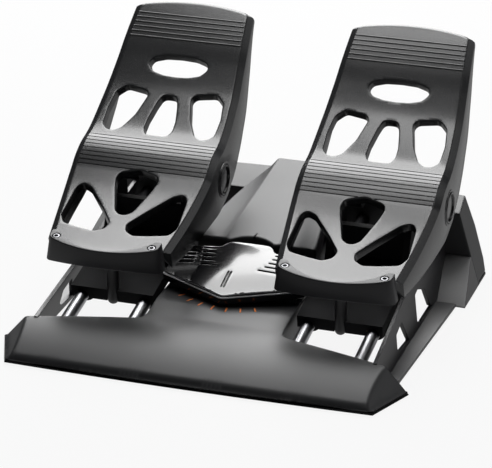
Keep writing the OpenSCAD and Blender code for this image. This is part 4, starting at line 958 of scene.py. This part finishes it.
# Shield over the rocker
TILT = math.radians(10)  # slope of the rails
RAIL_Y, RAIL_Z = 80.0, 15.0
DOME, DOME_X, DOME_Y, BACK_FROM, BACK_FALL = 25.4, 950.0, 760.0, 184.5, 0.03
SKIRT_FRONT, SKIRT_BACK, SKIRT_Y = 11.6, 16.2, 158.0
SHIELD_R = 27.6
SHIELD_RIGHT = [(68.0, 134.6), (68.0, 140.5), (60.0, 178.2), (25.4, 178.2)]
SHIELD_NOSE = (-2.5, 107.2)
VENT_HALF, VENT_TURN, VENT_DEEP = 0.75, 0.4, 1.4
VENTS = [(173.6, 28.5, 40.5), (167.4, 27.5, 39.5), (161.0, 26.0, 38.5), (154.8, 24.0, 37.0),
         (148.6, 19.5, 36.0), (170.0, 47.5, 55.8), (163.8, 46.0, 56.6), (157.6, 44.8, 57.6),
         (151.6, 44.0, 58.6)]  # y, and x from and to, of the right side's vents
POINTERS, POINTER_Y, POINTER_HALF = (-6.6, -4.0), (119.5, 141.5), 0.42
SHIELD_CORNER, SHIELD_EDGE, VENT_EDGE = 5.0, 1.6, 0.8
LINE_END, LOW_LINE, TOP_LINE = 141.0, (18.3, 19.2), (1.6, 0.35)


def on_rail(y, lift):
    """Height of a surface parallel to the rails, lift above the plane of their axes."""
    return RAIL_Z + (y - RAIL_Y) * math.tan(TILT) + lift / math.cos(TILT)


def shield_top(x, y):
    """The shield's dome, which falls away at the back."""
    back = max(0.0, y - BACK_FROM)
    return on_rail(y, DOME - x * x / DOME_X - (y - HUB) ** 2 / DOME_Y - BACK_FALL * back * back)


def stadium(x0, y0, x1, y1, half):
    """A slot's outline with round ends."""
    a = math.atan2(y1 - y0, x1 - x0)
    pts = arc(x1, y1, half, a + np.linspace(-math.pi / 2, math.pi / 2, 7))
    pts += arc(x0, y0, half, a + np.linspace(math.pi / 2, 1.5 * math.pi, 7))
    return resample(np.array(pts), 0.9)


SHIELD = [SHIELD_NOSE] + SHIELD_RIGHT
SHIELD += arc(0, HUB, SHIELD_R, np.linspace(0.42, math.pi - 0.42, 15))
SHIELD += [(-x, y) for x, y in reversed(SHIELD_RIGHT)]
out = smooth(resample(round_poly(SHIELD, SHIELD_CORNER), 1.3), 4)
slots = [stadium(-x1, y + VENT_TURN, -x0, y, VENT_HALF) for y, x0, x1 in VENTS]
slots += [stadium(x0, y, x1, y + VENT_TURN, VENT_HALF) for y, x0, x1 in VENTS]
slots += [stadium(x, POINTER_Y[0], x + 0.2, POINTER_Y[1], POINTER_HALF) for x in POINTERS]
inset = [q for d in (2.4, 3.4) for q in out + normals(out) * d]
shield = slab(out, slots, shield_top, lambda x, y: on_rail(y, SKIRT_FRONT if y < SKIRT_Y else SKIRT_BACK),
              SHIELD_EDGE, VENT_EDGE, deep=VENT_DEEP, grid=4.0, extra=inset)
add_piece("shield_shell", shield, "gloss", "rotor", ("shield_cover",), sharp=40)
front = np.array([p for p in out if p[1] < LINE_END])
front = front[np.argsort(front[:, 0])]
low = ribbon(front, -0.7, 0.6, lambda x, y: on_rail(y, LOW_LINE[0]),
             lambda x, y: on_rail(y, LOW_LINE[1]))
top = ribbon(front, 0.5, 1.5, lambda x, y: shield_top(x, y) - TOP_LINE[0],
             lambda x, y: shield_top(x, y) - TOP_LINE[1])
add_piece("shield_line_low", low, "trim", "rotor", ("shield_trim",))
add_piece("shield_line_top", top, "trim", "rotor", ("shield_trim",))


# Spine cover
SPINE_ARC, SPINE_Y, SPINE_LONG, SPINE_BACK = 29.6, 196.0, 132.0, 327.4
SPINE_Z, SPINE_SLOPE = 61.6, 0.203
ARC_GAP, ARC_HALF, FLANK_Y, FLANK_SLOPE = 1.1, 21.3, 13.2, 0.416
BEND_FROM, BEND_RUN, BEND = 27.2, 26.0, 0.8  # the flanks' outer lines draw in later than the ridge's
# half widths in front and at the back, and the height against the ridge's top
SPINE_SHAPE = [(0, 0, 0.0), (4, 2.6, 0.0), (8, 5.2, 0.0), (12, 7.9, 0.0), (16, 10.5, 0.0), (19.5, 12.8, 0.0),
               (21.2, 14.0, 0.0), (23.5, 15.4, -0.03), (25, 16.3, -0.12), (26.2, 17.2, -0.45),
               (27.2, 18.0, -0.95), (34.5, 20.0, -3.3), (44.6, 22.4, -6.5), (54.4, 24.6, -9.5),
               (55.6, 25.0, -9.7), (56.5, 25.3, -10.3), (56.9, 25.6, -11.5), (57.6, 27.0, -27.0)]
FRONT_ROUND = ((-0.3, -0.06), (-1.3, -0.66), (-1.7, -1.2), (-1.8, -2.2), (-1.8, -16.0))
FRONT_FLOOR = 0.032  # metres
MARK = ((-0.9, 197.4), (0.9, 197.4), (1.6, 203.6), (-0.2, 203.6))


def spine_z(y):
    return SPINE_Z + SPINE_SLOPE * (y - SPINE_Y)


def spine_half(y, a, b):
    """Half width at y of the line that starts at a in front and ends at b."""
    power = 1.0 + BEND * max(0.0, min(1.0, (a - BEND_FROM) / BEND_RUN))
    return a + (b - a) * max(0.0, (y - SPINE_Y) / SPINE_LONG) ** power


def spine_start(x):
    """y of the front edge: an arc round the rocker's hub, then a slanting line."""
    bow = math.sqrt(max(SPINE_ARC ** 2 - x ** 2, 0)) + ARC_GAP if x < ARC_HALF else 0
    return HUB + max(bow, FLANK_Y + FLANK_SLOPE * x)


def spine_cover():
    """Flat-topped ridge with two flanks on each side, cut in front to an arc round the rocker's hub."""
    verts, rows = [], []
    for u in np.linspace(0, 1, 25):
        line = []
        for a, b, dz in SPINE_SHAPE:
            y0 = spine_start(a)
            y = y0 + (SPINE_BACK - y0) * u
            line.append((spine_half(y, a, b), y, spine_z(y) + dz))
        first = len(verts)
        verts += [tuple(P(-x, y, z)) for x, y, z in line[:0:-1]] + [tuple(P(x, y, z)) for x, y, z in line]
        rows.append(list(range(first, len(verts))))
    # the front end turns down round a small radius into a wall
    edge = verts[:len(rows[0])]
    for dy, dz in FRONT_ROUND:
        rows.insert(0, list(range(len(verts), len(verts) + len(edge))))
        verts += [(x, y + dy / 1000, max(z + dz / 1000, FRONT_FLOOR)) for x, y, z in edge]
    return mesh(verts, [f for a, b in zip(rows, rows[1:]) for f in wall(a, b)[:-1]])


add_piece("spine_shell", spine_cover(), "base", "base", ("spine_cover",), sharp=50)
mark = [P(x, y, spine_z(y) + z + 0.1) for z in (0.05, -2.0) for x, y in MARK]
mark_faces = [(0, 1, 2, 3), (4, 7, 6, 5), (0, 4, 5, 1), (1, 5, 6, 2), (2, 6, 7, 3), (3, 7, 4, 0)]
add_piece("spine_mark", mesh(mark, mark_faces), "dark", "base")


# Stage, light, camera
FLOOR_COLOUR, FLOOR_ROUGH, FLOOR_SPEC = (0.62, 0.62, 0.63, 1), 0.9, 0.1
FLOOR_GLOW, FLOOR_PLAIN, FLOOR_MIRRORED = 0.97, 0.93, 0.45
WORLD_COLOUR, WORLD_LIGHT = (0.95, 0.96, 1.0, 1), 0.015
WHITE = (1, 1, 1, 1)


def mix_shader(nt, share, a, b):
    return node(nt, "ShaderNodeMixShader", in_0=share, in_1=a, in_2=b).outputs[0]


def glow(nt, strength):
    return node(nt, "ShaderNodeEmission", in_0=WHITE, in_1=strength).outputs[0]


# the floor: nearly white to the camera but for a little shade, a dim glow in reflections, else grey
bpy.ops.mesh.primitive_plane_add(size=12, location=(0, 0, 0))
floor = bpy.context.object
floor.name = "floor"
fm, ft, fb = new_mat("floor")
fb.inputs["Base Color"].default_value = FLOOR_COLOUR
fb.inputs["Roughness"].default_value = FLOOR_ROUGH
fb.inputs["Specular IOR Level"].default_value = FLOOR_SPEC
ray = node(ft, "ShaderNodeLightPath").outputs
seen = mix_shader(ft, FLOOR_PLAIN, fb.outputs[0], glow(ft, FLOOR_GLOW))
shown = mix_shader(ft, ray["Is Camera Ray"], fb.outputs[0], seen)
shown = mix_shader(ft, ray["Is Glossy Ray"], shown, glow(ft, FLOOR_MIRRORED))
ft.links.new(shown, ft.nodes["Material Output"].inputs[0])
floor.data.materials.append(fm)

# the world: white to the camera, almost dark to the light
w = bpy.data.worlds.new("studio")
bpy.context.scene.world = w
w.use_nodes = True
wt = w.node_tree
wt.nodes.clear()
lit = node(wt, "ShaderNodeBackground", in_0=WORLD_COLOUR, in_1=WORLD_LIGHT).outputs[0]
white = node(wt, "ShaderNodeBackground", in_0=WHITE, in_1=1.0).outputs[0]
camera_ray = node(wt, "ShaderNodeLightPath").outputs["Is Camera Ray"]
node(wt, "ShaderNodeOutputWorld", in_0=mix_shader(wt, camera_ray, lit, white))

LIGHT_AIM, LIGHT_DIST = (0, 0, 0.08), 1.7
# azimuth (0 is straight behind, + to the right), elevation, width, height and level of each light
LIGHTS = {
    "back_20": (-18, 20, 1.1, 0.385, 6.4),
    "back_33": (-18, 33, 1.1, 0.385, 7.4),
    "back_46": (-18, 46, 1.1, 0.385, 9.0),
    "back_56": (-18, 56, 1.1, 0.21, 6.0),
    "upper_65": (-18, 65, 1.1, 0.32, 9.2),
    "top_76": (-18, 76, 1.1, 0.3, 1.5),
    "top_86": (-18, 86, 1.1, 0.32, 6.4),
    "right_low": (75, 20, 0.9, 0.5, 1.5),
    "right_high": (60, 50, 0.9, 0.5, 0.7),
}


def aimed(name, data, aim, away, dist):
    """An object dist from aim in the direction away, looking at aim."""
    o = bpy.data.objects.new(name, data)
    bpy.context.scene.collection.objects.link(o)
    o.location = aim + away * dist
    o.rotation_euler = (-away).to_track_quat("-Z", "Y").to_euler()
    return o


for name, (az, el, wide, high, level) in LIGHTS.items():
    d = bpy.data.lights.new(name, "AREA")
    d.shape = "RECTANGLE"
    d.size = wide
    d.size_y = high
    d.energy = level * math.pi * wide * high
    a, e = math.radians(az), math.radians(el)
    away = Vector((math.sin(a) * math.cos(e), math.cos(a) * math.cos(e), math.sin(e)))
    aimed(name, d, Vector(LIGHT_AIM), away, LIGHT_DIST)

# The photo's camera was solved with 230 mm between the pedals' centre lines, which are 215 mm apart here.
FIT = 215 / 230
AZ, EL, DIST, AIM = math.radians(17.95), math.radians(23.4), 2816.8 * FIT, (1.14 * FIT, 180.9 * FIT, 82 * FIT)
FOCAL, PHOTO_WIDE, SENSOR = 2899.0, 492, 36.0  # focal length and width in the photo's pixels, and mm
cam = bpy.data.cameras.new("camera")
cam.sensor_fit = "HORIZONTAL"
cam.sensor_width = SENSOR
cam.lens = FOCAL / PHOTO_WIDE * SENSOR
cam.clip_start = 0.05
cam.clip_end = 50
away = Vector((math.sin(AZ) * math.cos(EL), -math.cos(AZ) * math.cos(EL), math.sin(EL)))
bpy.context.scene.camera = aimed("camera", cam, P(*AIM), away, DIST / 1000)
bpy.context.scene.view_settings.view_transform = "Standard"
